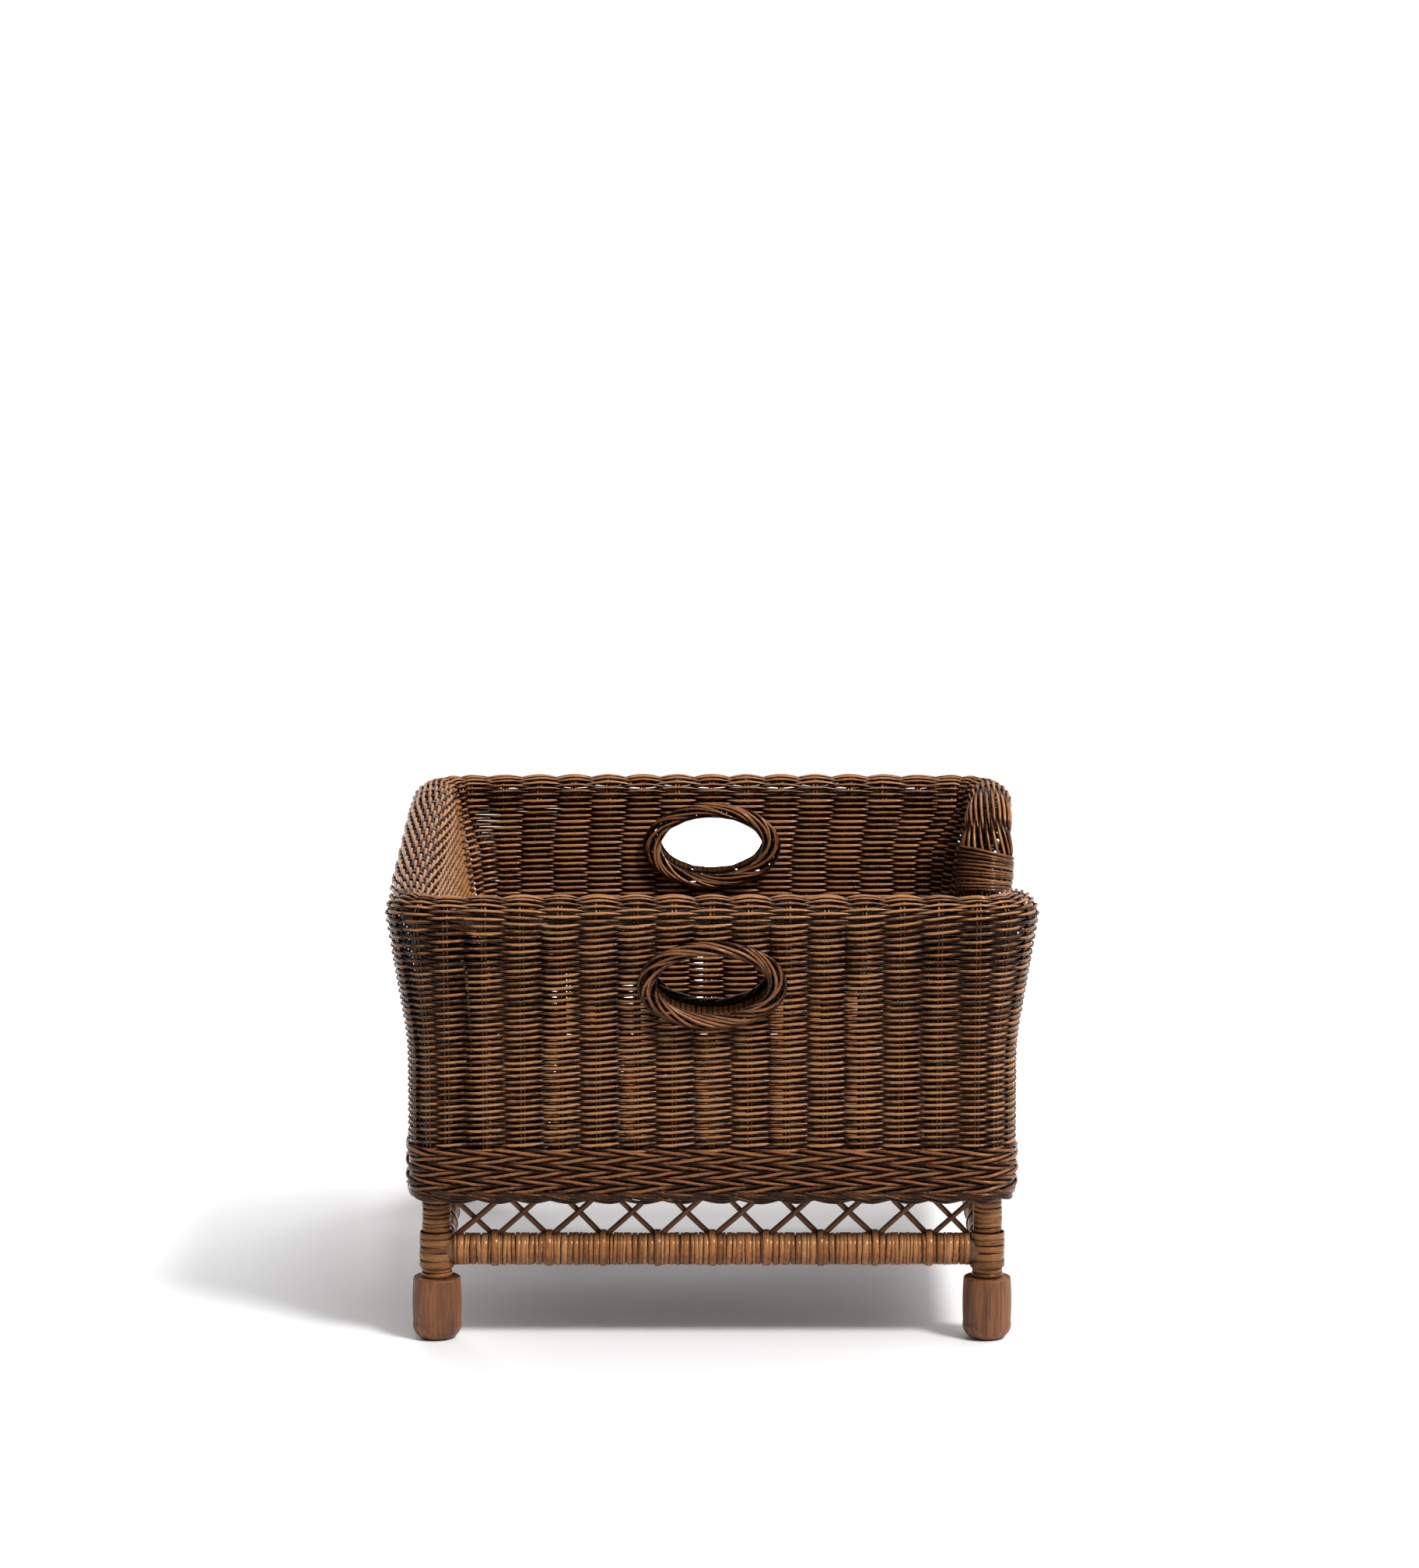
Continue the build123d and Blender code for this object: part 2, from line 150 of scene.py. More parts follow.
def tangents(points, closed=False):
    if closed:
        return unit(np.roll(points, -1, axis=0) - np.roll(points, 1, axis=0))
    return unit(np.gradient(points, axis=0))


def ring_tangents(rows):
    """Direction of each row of points, where every row closes on itself."""
    return unit(np.roll(rows, -1, axis=1) - np.roll(rows, 1, axis=1))


def add_object(name, data):
    made = bpy.data.objects.new(name, data)
    bpy.context.scene.collection.objects.link(made)
    return made


class Bundle:
    """Strands gathered into one mesh; each is a capped tube, or a closed ring."""

    def __init__(self, profile=round_profile(8)):
        self.profile = profile
        self.strands = []

    def add(self, points, outward, width, thickness=None, tone=None, depth=0.0, reach=REACH,
            along=None, closed=False):
        """outward steers the section; depth / reach says how far the strand stands out."""
        points = np.asarray(points, float)
        count = len(points)
        along = tangents(points, closed) if along is None else along
        outward = np.broadcast_to(outward, points.shape)
        outward = unit(outward - (outward * along).sum(1, keepdims=True) * along)
        across = np.cross(along, outward)
        width = np.broadcast_to(width, count)
        thickness = width if thickness is None else np.broadcast_to(thickness, count)
        side, out = self.profile[:, 0], self.profile[:, 1]
        rings = (points[:, None]
                 + across[:, None] * (side[None] * width[:, None])[..., None]
                 + outward[:, None] * (out[None] * thickness[:, None])[..., None])
        depth = np.broadcast_to(depth, count)
        # the materials paint the recesses darker from crest: painted shade along with pooled lacquer
        crest = (depth[:, None] + out[None] * thickness[:, None]) / reach
        steps = np.linalg.norm(np.diff(points, axis=0), axis=1)
        length = np.concatenate([[0], np.cumsum(steps)])
        tone = rng.random() if tone is None else tone
        self.strands.append((rings, crest, length, float(width.mean()), tone, closed))

    def mesh(self, name):
        """One mesh of all the strands, each with its own cell of the bake map."""
        sides = len(self.profile)
        total = len(self.strands)
        girth = TAU * np.mean([s[3] for s in self.strands])
        reach = np.mean([s[2][-1] for s in self.strands])
        columns = max(1, round(math.sqrt(total * girth / reach)))
        lines = math.ceil(total / columns)
        parts = defaultdict(list)

        def keep(**values):
            for key, value in values.items():
                parts[key].append(value)

        base = 0
        for number, (rings, crest, length, width, tone, closed) in enumerate(self.strands):
            count = len(rings)
            i, k = np.divmod(np.arange((count if closed else count - 1) * sides), sides)
            i2, k2 = (i + 1) % count, (k + 1) % sides
            quads = np.stack([i * sides + k, i2 * sides + k, i2 * sides + k2, i * sides + k2], axis=1)
            whole = length[-1] + (np.linalg.norm(rings[0, 0] - rings[-1, 0]) if closed else 0)
            run = np.append(length, whole)
            corner_run = run[np.stack([i, i + 1, i + 1, i], axis=1)]
            corner_turn = np.stack([k, k, k + 1, k + 1], axis=1) / sides
            cell = np.array([number % columns / columns, number // columns / lines])
            bake_u = cell[0] + (0.01 + 0.98 * corner_run / whole) / columns
            bake_v = cell[1] + (0.08 + 0.84 * corner_turn) / lines
            shift = rng.random(2) * 5
            grain_u = corner_run + shift[0]
            grain_v = corner_turn * TAU * width + shift[1]
            keep(co=rings.reshape(-1, 3), crest=crest.ravel(), tone=np.full(count * sides, tone),
                 loop=(quads + base).ravel(), size=np.full(len(quads), 4),
                 bake=np.stack([bake_u.ravel(), bake_v.ravel()], axis=1),
                 grain=np.stack([grain_u.ravel(), grain_v.ravel()], axis=1))
            if not closed:
                ends = [np.arange(sides), (count - 1) * sides + np.arange(sides)[::-1]]
                for end, fraction in zip(ends, (0.004, 0.992)):
                    section = self.profile[end % sides]
                    local = (section * 0.3 + 0.5) * [0.006 / columns, 0.8 / lines]
                    keep(loop=end + base, size=np.array([sides]), grain=shift + section * width,
                         bake=cell + [fraction / columns, 0.08 / lines] + local)
            base += count * sides
        data = {key: np.concatenate(value) for key, value in parts.items()}
        made = bpy.data.meshes.new(name)
        made.vertices.add(base)
        made.vertices.foreach_set("co", data["co"].astype(np.float32).ravel())
        made.loops.add(len(data["loop"]))
        made.loops.foreach_set("vertex_index", data["loop"].astype(np.int32))
        made.polygons.add(len(data["size"]))
        starts = np.cumsum(data["size"]) - data["size"]
        made.polygons.foreach_set("loop_start", starts.astype(np.int32))
        made.polygons.foreach_set("use_smooth", data["size"] == 4)
        made.update(calc_edges=True)
        for layer, key in (("OFBake", "bake"), ("Grain", "grain")):
            uv = made.uv_layers.new(name=layer)
            uv.data.foreach_set("uv", data[key].astype(np.float32).ravel())
        for key in ("crest", "tone"):
            attribute = made.attributes.new(key, "FLOAT", "POINT")
            attribute.data.foreach_set("value", data[key].astype(np.float32))
        return made

    def piece(self, name, material, node):
        """Makes the object, rides it on the one body and lets it stand for the node."""
        made = self.mesh(name)
        made.materials.append(material)
        placed = add_object(name, made)
        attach(placed, "root")
        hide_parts(node)


def drift(where, size):
    """Slow random wander along a strand, about `size` high, of four waves up to nine units long."""
    waves = np.zeros_like(where, dtype=float)
    for _ in range(4):
        length = 9.0 * vary(0.15, 1.0)
        waves += np.sin(where * TAU / length + vary(0, TAU))
    return waves * size / 4


# ---- materials
def object_place(tree):
    return tree.nodes.new("ShaderNodeTexCoord").outputs["Object"]


def start_material(name):
    material = bpy.data.materials.new(name)
    material.use_nodes = True
    tree = material.node_tree
    shader = next(n for n in tree.nodes if n.type == "BSDF_PRINCIPLED")
    return material, tree, shader


def finish_material(material, shader, colour, roughness):
    for socket, name in ((colour, "Base Color"), (roughness, "Roughness")):
        material.node_tree.links.new(socket, shader.inputs[name])
    return material


def feed(tree, socket, value):
    """Links a socket to another, or sets it to a number or an RGB triple."""
    if isinstance(value, bpy.types.NodeSocket):
        tree.links.new(value, socket)
    else:
        socket.default_value = (*value, 1.0) if isinstance(value, tuple) else value


def set_inputs(node, values):
    for key, value in values.items():
        node.inputs[key].default_value = value


def noise(tree, coordinates, scale, detail=3.0, roughness=0.55, distortion=0.0):
    """Noise on coordinates stretched by scale, as a 0 to 1 output."""
    mapping = tree.nodes.new("ShaderNodeMapping")
    mapping.inputs["Scale"].default_value = scale
    tree.links.new(coordinates, mapping.inputs["Vector"])
    texture = tree.nodes.new("ShaderNodeTexNoise")
    set_inputs(texture, {"Scale": 1.0, "Detail": detail, "Roughness": roughness, "Distortion": distortion})
    tree.links.new(mapping.outputs["Vector"], texture.inputs["Vector"])
    return texture.outputs[0]


def spread(tree, value, low, high, to_low=0.0, to_high=1.0):
    """Smooth map of low..high onto to_low..to_high."""
    node = tree.nodes.new("ShaderNodeMapRange")
    node.interpolation_type = "SMOOTHSTEP"
    set_inputs(node, {"From Min": low, "From Max": high, "To Min": to_low, "To Max": to_high})
    tree.links.new(value, node.inputs["Value"])
    return node.outputs["Result"]


def maths(tree, operation, first, second):
    node = tree.nodes.new("ShaderNodeMath")
    node.operation = operation
    for socket, value in zip(node.inputs, (first, second)):
        feed(tree, socket, value)
    return node.outputs[0]


def blend(tree, factor, first, second, how="MIX"):
    """Mix of two colours, each a socket or an RGB triple."""
    node = tree.nodes.new("ShaderNodeMix")
    node.data_type = "RGBA"
    node.blend_type = how
    for number, value in ((0, factor), (6, first), (7, second)):
        feed(tree, node.inputs[number], value)
    return node.outputs[2]


def attribute(tree, name):
    node = tree.nodes.new("ShaderNodeAttribute")
    node.attribute_name = name
    return node.outputs["Fac"]


def grain(tree):
    node = tree.nodes.new("ShaderNodeUVMap")
    node.uv_map = "Grain"
    return node.outputs["UV"]


def bump(tree, shader, height, strength, distance):
    node = tree.nodes.new("ShaderNodeBump")
    set_inputs(node, {"Strength": strength, "Distance": distance})
    tree.links.new(height, node.inputs["Height"])
    tree.links.new(node.outputs["Normal"], shader.inputs["Normal"])


def upward(tree):
    """How far the surface faces up, -1 to 1."""
    split = tree.nodes.new("ShaderNodeSeparateXYZ")
    tree.links.new(tree.nodes.new("ShaderNodeNewGeometry").outputs["Normal"], split.inputs["Vector"])
    return split.outputs["Z"]


def centred(tree, value, size):
    """A 0 to 1 value moved to swing about zero, `size` from bottom to top."""
    return maths(tree, "MULTIPLY", maths(tree, "SUBTRACT", value, 0.5), size)


def ramp_tone(tree, tone):
    """Colour that tints each strand a little differently."""
    node = tree.nodes.new("ShaderNodeValToRGB")
    node.color_ramp.elements[0].color = (0.62, 0.58, 0.56, 1)
    node.color_ramp.elements[1].color = (1.0, 1.0, 0.96, 1)
    extra = node.color_ramp.elements.new(0.5)
    extra.color = (0.95, 0.84, 0.76, 1)
    tree.links.new(tone, node.inputs["Fac"])
    return node.outputs["Color"]


def strand_material(name, recess, middle_tone, crest_tone, gloss, dull, shine=0.42, crest_range=(0.0, 1.0),
                    streak=0.5):
    """Lacquered rattan: black in the recesses, from lacquer pooled there and from painted shade, and
    rubbed to a warmer brown on the crests.

    Painted shade darkens the underside of each strand and lightens its top, as if lit from above.  gloss
    is the roughness where the lacquer is thick, dull where it is rubbed thin.
    """
    material, tree, shader = start_material(name)
    uv = grain(tree)
    tone = attribute(tree, "tone")
    crest = attribute(tree, "crest")
    fibres = noise(tree, uv, (70, 3000, 1), detail=4, roughness=0.6)
    patches = noise(tree, uv, (110, 260, 1), detail=4, roughness=0.65)
    specks = noise(tree, uv, (420, 1500, 1), detail=2, roughness=0.6)
    # crest, from how deep each point lies in the weave, sets the recess colour: painted shade as well as
    # lacquer pooled in the recesses
    wear_and_shade = maths(tree, "ADD", crest, centred(tree, patches, 1.4))
    wear_and_shade = maths(tree, "ADD", wear_and_shade, centred(tree, tone, 0.35))
    wear_and_shade = maths(tree, "ADD", wear_and_shade, centred(tree, specks, 0.7))
    # painted shade: strands are painted darker where they face down and lighter where they face up
    wear_and_shade = maths(tree, "ADD", wear_and_shade, spread(tree, upward(tree), -0.7, 0.9, -0.55, 0.2))
    height = spread(tree, wear_and_shade, *crest_range)
    body = blend(tree, spread(tree, height, 0.05, 0.42), recess, middle_tone)
    body = blend(tree, spread(tree, height, 0.35, 1.0), body, crest_tone)
    streaks = spread(tree, fibres, 0.35, 0.65, 1.0 - streak, 1.0)
    streaked = blend(tree, streaks, blend(tree, 0.7, body, recess), body)
    shade = blend(tree, 1.0, streaked, ramp_tone(tree, tone), "MULTIPLY")
    lacquer = maths(tree, "ADD", patches, centred(tree, specks, 0.9))
    set_inputs(shader, {"Specular IOR Level": shine, "Specular Tint": (1.0, 0.62, 0.42, 1.0)})
    bump(tree, shader, maths(tree, "ADD", fibres, maths(tree, "MULTIPLY", specks, 0.7)), 0.5, 0.07 * MM)
    return finish_material(material, shader, shade, spread(tree, lacquer, 0.46, 0.74, gloss, dull))


def wood_material(name, dark, light, grain_scale):
    """Turned hardwood: long vertical grain, pores and a few dark checks."""
    material, tree, shader = start_material(name)
    place = object_place(tree)
    across = 70 * grain_scale
    bands = noise(tree, place, (across, across, 5), detail=4, roughness=0.6, distortion=0.8)
    fine = noise(tree, place, (520, 520, 22), detail=5, roughness=0.7)
    pores = noise(tree, place, (900, 900, 60), detail=2, roughness=0.5)
    checks = noise(tree, place, (120, 120, 14), detail=3, roughness=0.6, distortion=1.6)
    colour = blend(tree, spread(tree, bands, 0.32, 0.68), dark, light)
    colour = blend(tree, spread(tree, fine, 0.42, 0.62, 0.0, 0.55), colour, tuple(c * 0.5 for c in dark))
    colour = blend(tree, spread(tree, pores, 0.62, 0.74, 0.0, 0.5), colour, tuple(c * 0.3 for c in dark))
    crack = spread(tree, checks, 0.66, 0.72)
    colour = blend(tree, maths(tree, "MULTIPLY", crack, 0.8), colour, (0.02, 0.011, 0.007))
    relief = maths(tree, "SUBTRACT", maths(tree, "MULTIPLY", fine, 0.5), crack)
    bump(tree, shader, relief, 0.5, 0.35 * MM)
    return finish_material(material, shader, colour, spread(tree, fine, 0.3, 0.7, 0.42, 0.62))


def metal_material(name):
    material, tree, shader = start_material(name)
    place = object_place(tree)
    wear = noise(tree, place, (900, 900, 900), detail=3)
    shader.inputs["Metallic"].default_value = 1.0
    colour = blend(tree, wear, (0.32, 0.31, 0.30), (0.5, 0.49, 0.47))
    return finish_material(material, shader, colour, spread(tree, wear, 0.3, 0.7, 0.28, 0.5))


WEAVE = strand_material("rattan_weave", (0.004, 0.001, 0.0005), (0.12, 0.040, 0.014), (0.52, 0.25, 0.11),
                        0.1, 0.36)
TWIST = strand_material("rattan_twist", (0.004, 0.001, 0.0005), (0.09, 0.030, 0.011), (0.33, 0.144, 0.062),
                        0.1, 0.36)
CANE = strand_material("cane_wrap", (0.014, 0.005, 0.0015), (0.24, 0.088, 0.025), (0.62, 0.30, 0.125),
                       0.16, 0.45, crest_range=(-1.0, 1.6), streak=0.8)
POST_CANE = strand_material("post_wrap", (0.012, 0.004, 0.001), (0.16, 0.062, 0.022), (0.36, 0.165, 0.066),
                            0.16, 0.45, crest_range=(-1.1, 1.5), streak=0.8)
DARK_CANE = strand_material("cane_lining", (0.01, 0.004, 0.002), (0.05, 0.020, 0.008), (0.14, 0.06, 0.025),
                            0.3, 0.5, shine=0.0, crest_range=(-1.1, 1.5), streak=0.6)
# near-black strips deep in the hand hole: their colour is painted shade
SHADED_CANE = strand_material("cane_inner_lining_painted_shade", (0.002, 0.001, 0.0007), (0.006, 0.003, 0.0015),
                              (0.012, 0.006, 0.003), 0.7, 0.9, shine=0.0, crest_range=(-1.1, 1.5))
LATTICE = strand_material("rattan_lattice", (0.02, 0.009, 0.005), (0.09, 0.040, 0.022),
                          (0.18, 0.086, 0.048), 0.3, 0.55, crest_range=(-1.4, 1.4), streak=0.6)
DECK = strand_material("rattan_deck", (0.01, 0.004, 0.002), (0.10, 0.038, 0.016), (0.34, 0.15, 0.06),
                       0.24, 0.55, streak=0.6)
POLE = wood_material("pole_rattan", (0.10, 0.042, 0.018), (0.2, 0.09, 0.04), 0.6)
FOOT_WOOD = wood_material("foot_wood", (0.11, 0.034, 0.009), (0.28, 0.098, 0.028), 1.0)
PIN_STEEL = metal_material("steel_pin")


# ---- shape of the woven walls
def rounded_outline(where, lengths, half_x, half_y, radius):
    """Plan points and outward directions at places along a rounded rectangle.

    lengths are the eight stretches, straight and corner in turn from the left end of the
    front, in the same unit as where.  half_x and half_y reach to the corner axes.
    """
    edges = np.concatenate([[0], np.cumsum(lengths)])
    where = np.mod(where, edges[-1])
    points = np.zeros((len(where), 2))
    outward = np.zeros((len(where), 2))
    facing = [(0, -1), (1, 0), (0, 1), (-1, 0)]
    for number in range(8):
        face = np.array(facing[number // 2], float)
        ahead = np.array(facing[(number // 2 + 1) % 4], float)
        reach, half = (half_y, half_x) if number // 2 % 2 == 0 else (half_x, half_y)
        chosen = (where >= edges[number]) & (where < edges[number + 1])
        part = ((where[chosen] - edges[number]) / lengths[number])[:, None]
        if number % 2 == 0:
            points[chosen] = face * (reach + radius) + ahead * half * (2 * part - 1)
            outward[chosen] = face
        else:
            turn = part * PI / 2
            outward[chosen] = around(face, ahead, turn)
            points[chosen] = face * reach + ahead * half + outward[chosen] * radius
    return points, outward


def arc_lengths(half_x, half_y, radius):
    quarter = PI / 2 * radius
    return [2 * half_x, quarter, 2 * half_y, quarter] * 2


def flare(z):
    """How far the wall stands out at height z."""
    slope = FLARE / (ROLL_Z - FLARE_BEND_Z)
    lean = math.atan(slope)
    tangent = FLARE_BEND_RADIUS * math.tan(lean / 2)
    start = FLARE_BEND_Z - tangent
    end = FLARE_BEND_Z + tangent * math.cos(lean)
    inside = np.clip(z - start, 0, end - start)
    bend = FLARE_BEND_RADIUS - np.sqrt(FLARE_BEND_RADIUS ** 2 - inside ** 2)
    return np.where(z > end, (z - FLARE_BEND_Z) * slope, bend)


def inner_places(stake):
    """Place of each stake along the inner skin: the stakes crowd together in the corners."""
    half_x, half_y = HALF_WIDTH - INNER_AXIS, HALF_DEPTH - INNER_AXIS
    radius = INNER_AXIS - WALL + SKIN_MID
    lengths = arc_lengths(half_x, half_y, radius)
    crowd = 2.5  # stakes each side of a corner that stand closer
    end_half, side_half = half_x + lengths[1] / 2, half_y + lengths[1] / 2
    end_count = (END_STAKES + CORNER_STAKES) / 2
    side_count = (SIDE_STAKES + CORNER_STAKES) / 2
    wide = (side_half - end_half) / (side_count - end_count)
    close = (end_half - (end_count - crowd) * wide) / crowd
    spacing = np.where(stakes_from_corner(stake) < crowd, close, wide)
    window = range(-STEPS, STEPS + 1)
    spacing = sum(np.roll(spacing, shift) for shift in window) / len(window)
    place = np.cumsum(spacing) / STEPS
    front_middle = END_STAKES * STEPS // 2
    place += half_x - place[front_middle]
    return rounded_outline(place, lengths, half_x, half_y, radius)


def smooth(value):
    value = np.clip(value, 0, 1)
    return value * value * (3 - 2 * value)


def stakes_from_corner(stake):
    off = np.abs(stake[:, None] - CORNER_MIDDLES[None])
    return np.minimum(off, STAKES - off).min(axis=1)


def near_corner(stakes_off):
    """1 at a corner, falling to 0 five stakes away from it."""
    return smooth((5 - stakes_off) / 4)


NEAR_CORNER = near_corner(stakes_from_corner(np.arange(STAKES * STEPS) / STEPS))


def row_climb(run):
    """How far a row climbs round a corner; run is its distance past the foot of the roll."""
    return CORNER_CLIMB * smooth(1 + run / (45 * MM)) * smooth(1 - run / (PI * ROLL_MID))


def wall_grid():
    """Middle surface of the whole double wall: rows up the outside, over the roll, down inside.

    Each row sits at a distance along the wall's section, measured from the foot of the roll.
    """
    stake = np.arange(STAKES * STEPS) / STEPS
    half_x, half_y = HALF_WIDTH - OUTER_CORNER, HALF_DEPTH - OUTER_CORNER
    outer, outer_out = rounded_outline(stake, STRETCHES, half_x, half_y, OUTER_CORNER - SKIN_MID)
    edge_radius = OUTER_CORNER - WALL + SKIN_MID
    edge, edge_out = rounded_outline(stake, STRETCHES, half_x, half_y, edge_radius)
    inner, inner_out = inner_places(stake)
    start, end = outer + outer_out * FLARE, edge + edge_out * FLARE
    over_roll = PI * ROLL_MID

    def place(run):
        """Points of a row, given how far past the foot of the roll each stake crosses it."""
        z = ROLL_Z + np.minimum(run, 0)
        sunk = BEHIND_WALING * smooth((WALING_HIGH - z) / (9 * MM))
        outside = outer + outer_out * (flare(z) - sunk)[:, None]
        turn = np.clip(run / ROLL_MID, 0, PI)
        part = ((1 - np.cos(turn)) / 2)[:, None]
        rolled = start * (1 - part) + end * part
        down = np.maximum(run - over_roll, 0)
        settled = smooth(down / SETTLE)[:, None]
        lean = flare(ROLL_Z - down)[:, None]
        inside = (edge + edge_out * lean) * (1 - settled) + (inner + inner_out * lean) * settled
        xy = np.where((run < 0)[:, None], outside, np.where((run > over_roll)[:, None], inside, rolled))
        return np.column_stack([xy, z + ROLL_MID * np.sin(turn) - down])

    runs_along = [(k - OUTER_ROWS + 1) * ROW_PITCH for k in range(OUTER_ROWS)]
    runs_along += [over_roll * j / (ROLL_ROWS + 1) for j in range(1, ROLL_ROWS + 1)]
    runs_along += [over_roll + m * ROW_PITCH for m in range(INNER_ROWS)]
    return np.array([place(run + row_climb(run) * NEAR_CORNER) for run in runs_along])


GRID = wall_grid()
ROUND_THE_WALL = ring_tangents(GRID)
FACING = unit(np.cross(ROUND_THE_WALL, np.gradient(GRID, axis=0)))
FIRST_INNER = OUTER_ROWS + ROLL_ROWS
PARTS = {
    "outer_weave": range(HIDDEN_ROWS, OUTER_ROWS),
    "rim_roll": range(OUTER_ROWS, FIRST_INNER),
    "inner_weave": range(FIRST_INNER, FIRST_INNER + INNER_ROWS),
}


# ---- entrance curve
TOP_HALF, FOOT_HALF = 273 * MM, 238 * MM  # half width of the entrance, at the rim and at the sill
TOP_BEND, FOOT_BEND = 50 * MM, 100 * MM
ENTRANCE_STAKES = 23  # pairs of rods across the entrance roll
BACK_SWELL = (4 * MM, 8 * MM)  # the back half of the roll is this much fatter and further out


def entrance_line():
    """Centre line of the entrance roll from front to back, one point for each step."""
    reach = HALF_DEPTH - OUTER_CORNER
    rise = math.hypot(ROLL_Z - SILL_Z, FLARE)
    slope = math.atan2(rise, TOP_HALF - FOOT_HALF)
    top_cut = TOP_BEND * math.tan(slope / 2)
    sill_cut = FOOT_BEND * math.tan(slope / 2)
    steep = math.hypot(rise, TOP_HALF - FOOT_HALF) - top_cut - sill_cut
    sill_half = FOOT_HALF - sill_cut
    lengths = [reach - TOP_HALF - top_cut, TOP_BEND * slope, steep, FOOT_BEND * slope, sill_half]
    curvatures = np.array([0, -1 / TOP_BEND, 0, 1 / FOOT_BEND, 0])
    edges = np.cumsum([0] + lengths)
    fine = np.linspace(0, edges[-1], 4000)
    which = np.clip(np.searchsorted(edges, fine, side="right") - 1, 0, len(lengths) - 1)
    step = fine[1]
    heading = np.cumsum(curvatures[which]) * step
    along = np.cumsum(np.cos(heading)) * step - reach
    height = rise + np.cumsum(np.sin(heading)) * step
    sill_stakes = sill_half / (2 * reach / SIDE_STAKES)
    half_stakes = ENTRANCE_STAKES / 2
    stake_at = np.interp(fine, [0, edges[-2], edges[-1]], [0, half_stakes - sill_stakes, half_stakes])
    wanted = np.arange(ENTRANCE_STAKES * STEPS // 2 + 1) / STEPS
    y = np.interp(wanted, stake_at, along)
    y = np.concatenate([y, -y[-2::-1]])
    z = np.interp(wanted, stake_at, height)
    z = np.concatenate([z, z[-2::-1]])
    z = SILL_Z + (z - z.min()) * (ROLL_Z - SILL_Z) / (z.max() - z.min())
    settle = smooth((ROLL_Z - z) / (ROLL_Z - SILL_Z) * 1.6)
    x = HALF_WIDTH - WALL / 2 + flare(z) + BACK_SWELL[1] * settle * smooth(y / SETTLE)
    return np.column_stack([x, y, z])


ENTRANCE = entrance_line()
FALLING = ENTRANCE[:len(ENTRANCE) // 2 + 1]
ENTRANCE_ALONG = tangents(ENTRANCE)
SIDEWAYS = np.array([1.0, 0, 0])
UPWARDS = np.array([0, 0, 1.0])
ENTRANCE_SIDE = unit(SIDEWAYS - (ENTRANCE_ALONG @ SIDEWAYS)[:, None] * ENTRANCE_ALONG)
ENTRANCE_UP = np.cross(ENTRANCE_SIDE, ENTRANCE_ALONG)
BELOW_RIM = smooth((ROLL_Z + 2 * MM - ENTRANCE[:, 2]) / SETTLE)
FATTEN = BELOW_RIM * smooth(ENTRANCE[:, 1] / SETTLE) * BACK_SWELL[0]


def entrance_half_width(z):
    """Half width of the entrance at height z, at the roll's centre line."""
    return np.interp(z, FALLING[::-1, 2], -FALLING[::-1, 1])


def entrance_height(y):
    return np.interp(-abs(y), FALLING[:, 1], FALLING[:, 2])


# ---- weaving
HOLE = (65 * MM, 40 * MM)  # the weave stops on this ellipse, under the middle of a ring
HANDLE_Z = {side: middle(f"handle_ring_{side}_outer").z for side in ("front", "back")}
ENTRANCE_TUCK = 5 * MM  # how far a cut weaver runs on under the entrance roll
TUCK_DEPTH = 4 * MM
ENTRANCE_SLANT = -1.3  # turn of the entrance rows round the roll at the sill, in radians


def swing(phase):
    """A weaver's sideways swing: a little flat over the stakes and quick between them."""
    return WAVE * np.tanh(1.2 * np.cos(phase)) / math.tanh(1.2)


def weaver_paths():
    """Centre line of every weaver right round the basket, and how far it stands out there."""
    rows, columns = GRID.shape[:2]
    stake = np.arange(columns) / STEPS
    paths, depths = np.empty_like(GRID), np.empty((rows, columns))
    for row in range(rows):
        phase = PI * (stake + row)
        turns = np.round(np.array([1, 2, 3, 5, 8, 13]) * vary(0.8, 1.2, 6) * 3)
        wander = sum(np.sin(TAU * t * stake / STAKES + vary(0, 6.3)) for t in turns) / 6
        uneven = np.interp(stake, np.arange(STAKES + 1), np.resize(rng.normal(0, 1, STAKES), STAKES + 1))
        rounded = row in PARTS["rim_roll"]
        depth = (WAVE * np.cos(phase) if rounded else swing(phase)) * (1 + 0.05 * wander)
        depth = depth * (1 - CORNER_CALM * NEAR_CORNER)
        tilt = ROW_TILT * (1 + 0.6 * np.sin(TAU * stake / STAKES * 3 + 0.6))
        if row < OUTER_ROWS:
            lift = tilt * (np.sin(phase) + (-1) ** row) + 0.28 * MM * wander + 0.2 * MM * uneven
        else:
            lift = 0.5 * tilt * np.sin(phase) + 0.12 * MM * wander + 0.05 * MM * uneven
        up = np.cross(FACING[row], ROUND_THE_WALL[row])
        paths[row] = GRID[row] + FACING[row] * depth[:, None] + up * lift[:, None]
        depths[row] = depth
    return paths, depths


PATHS, DEPTHS = weaver_paths()
PATH_ALONG = ring_tangents(PATHS)


def in_hand_hole(points, side):
    if side not in HANDLE_Z:
        return np.zeros(len(points), bool)
    return (points[:, 0] / HOLE[0]) ** 2 + ((points[:, 2] - HANDLE_Z[side]) / HOLE[1]) ** 2 < 1


def runs(kept):
    """Start and end of each stretch of True."""
    edges = np.flatnonzero(np.diff(np.concatenate([[0], kept.astype(int), [0]])))
    return zip(edges[::2], edges[1::2])


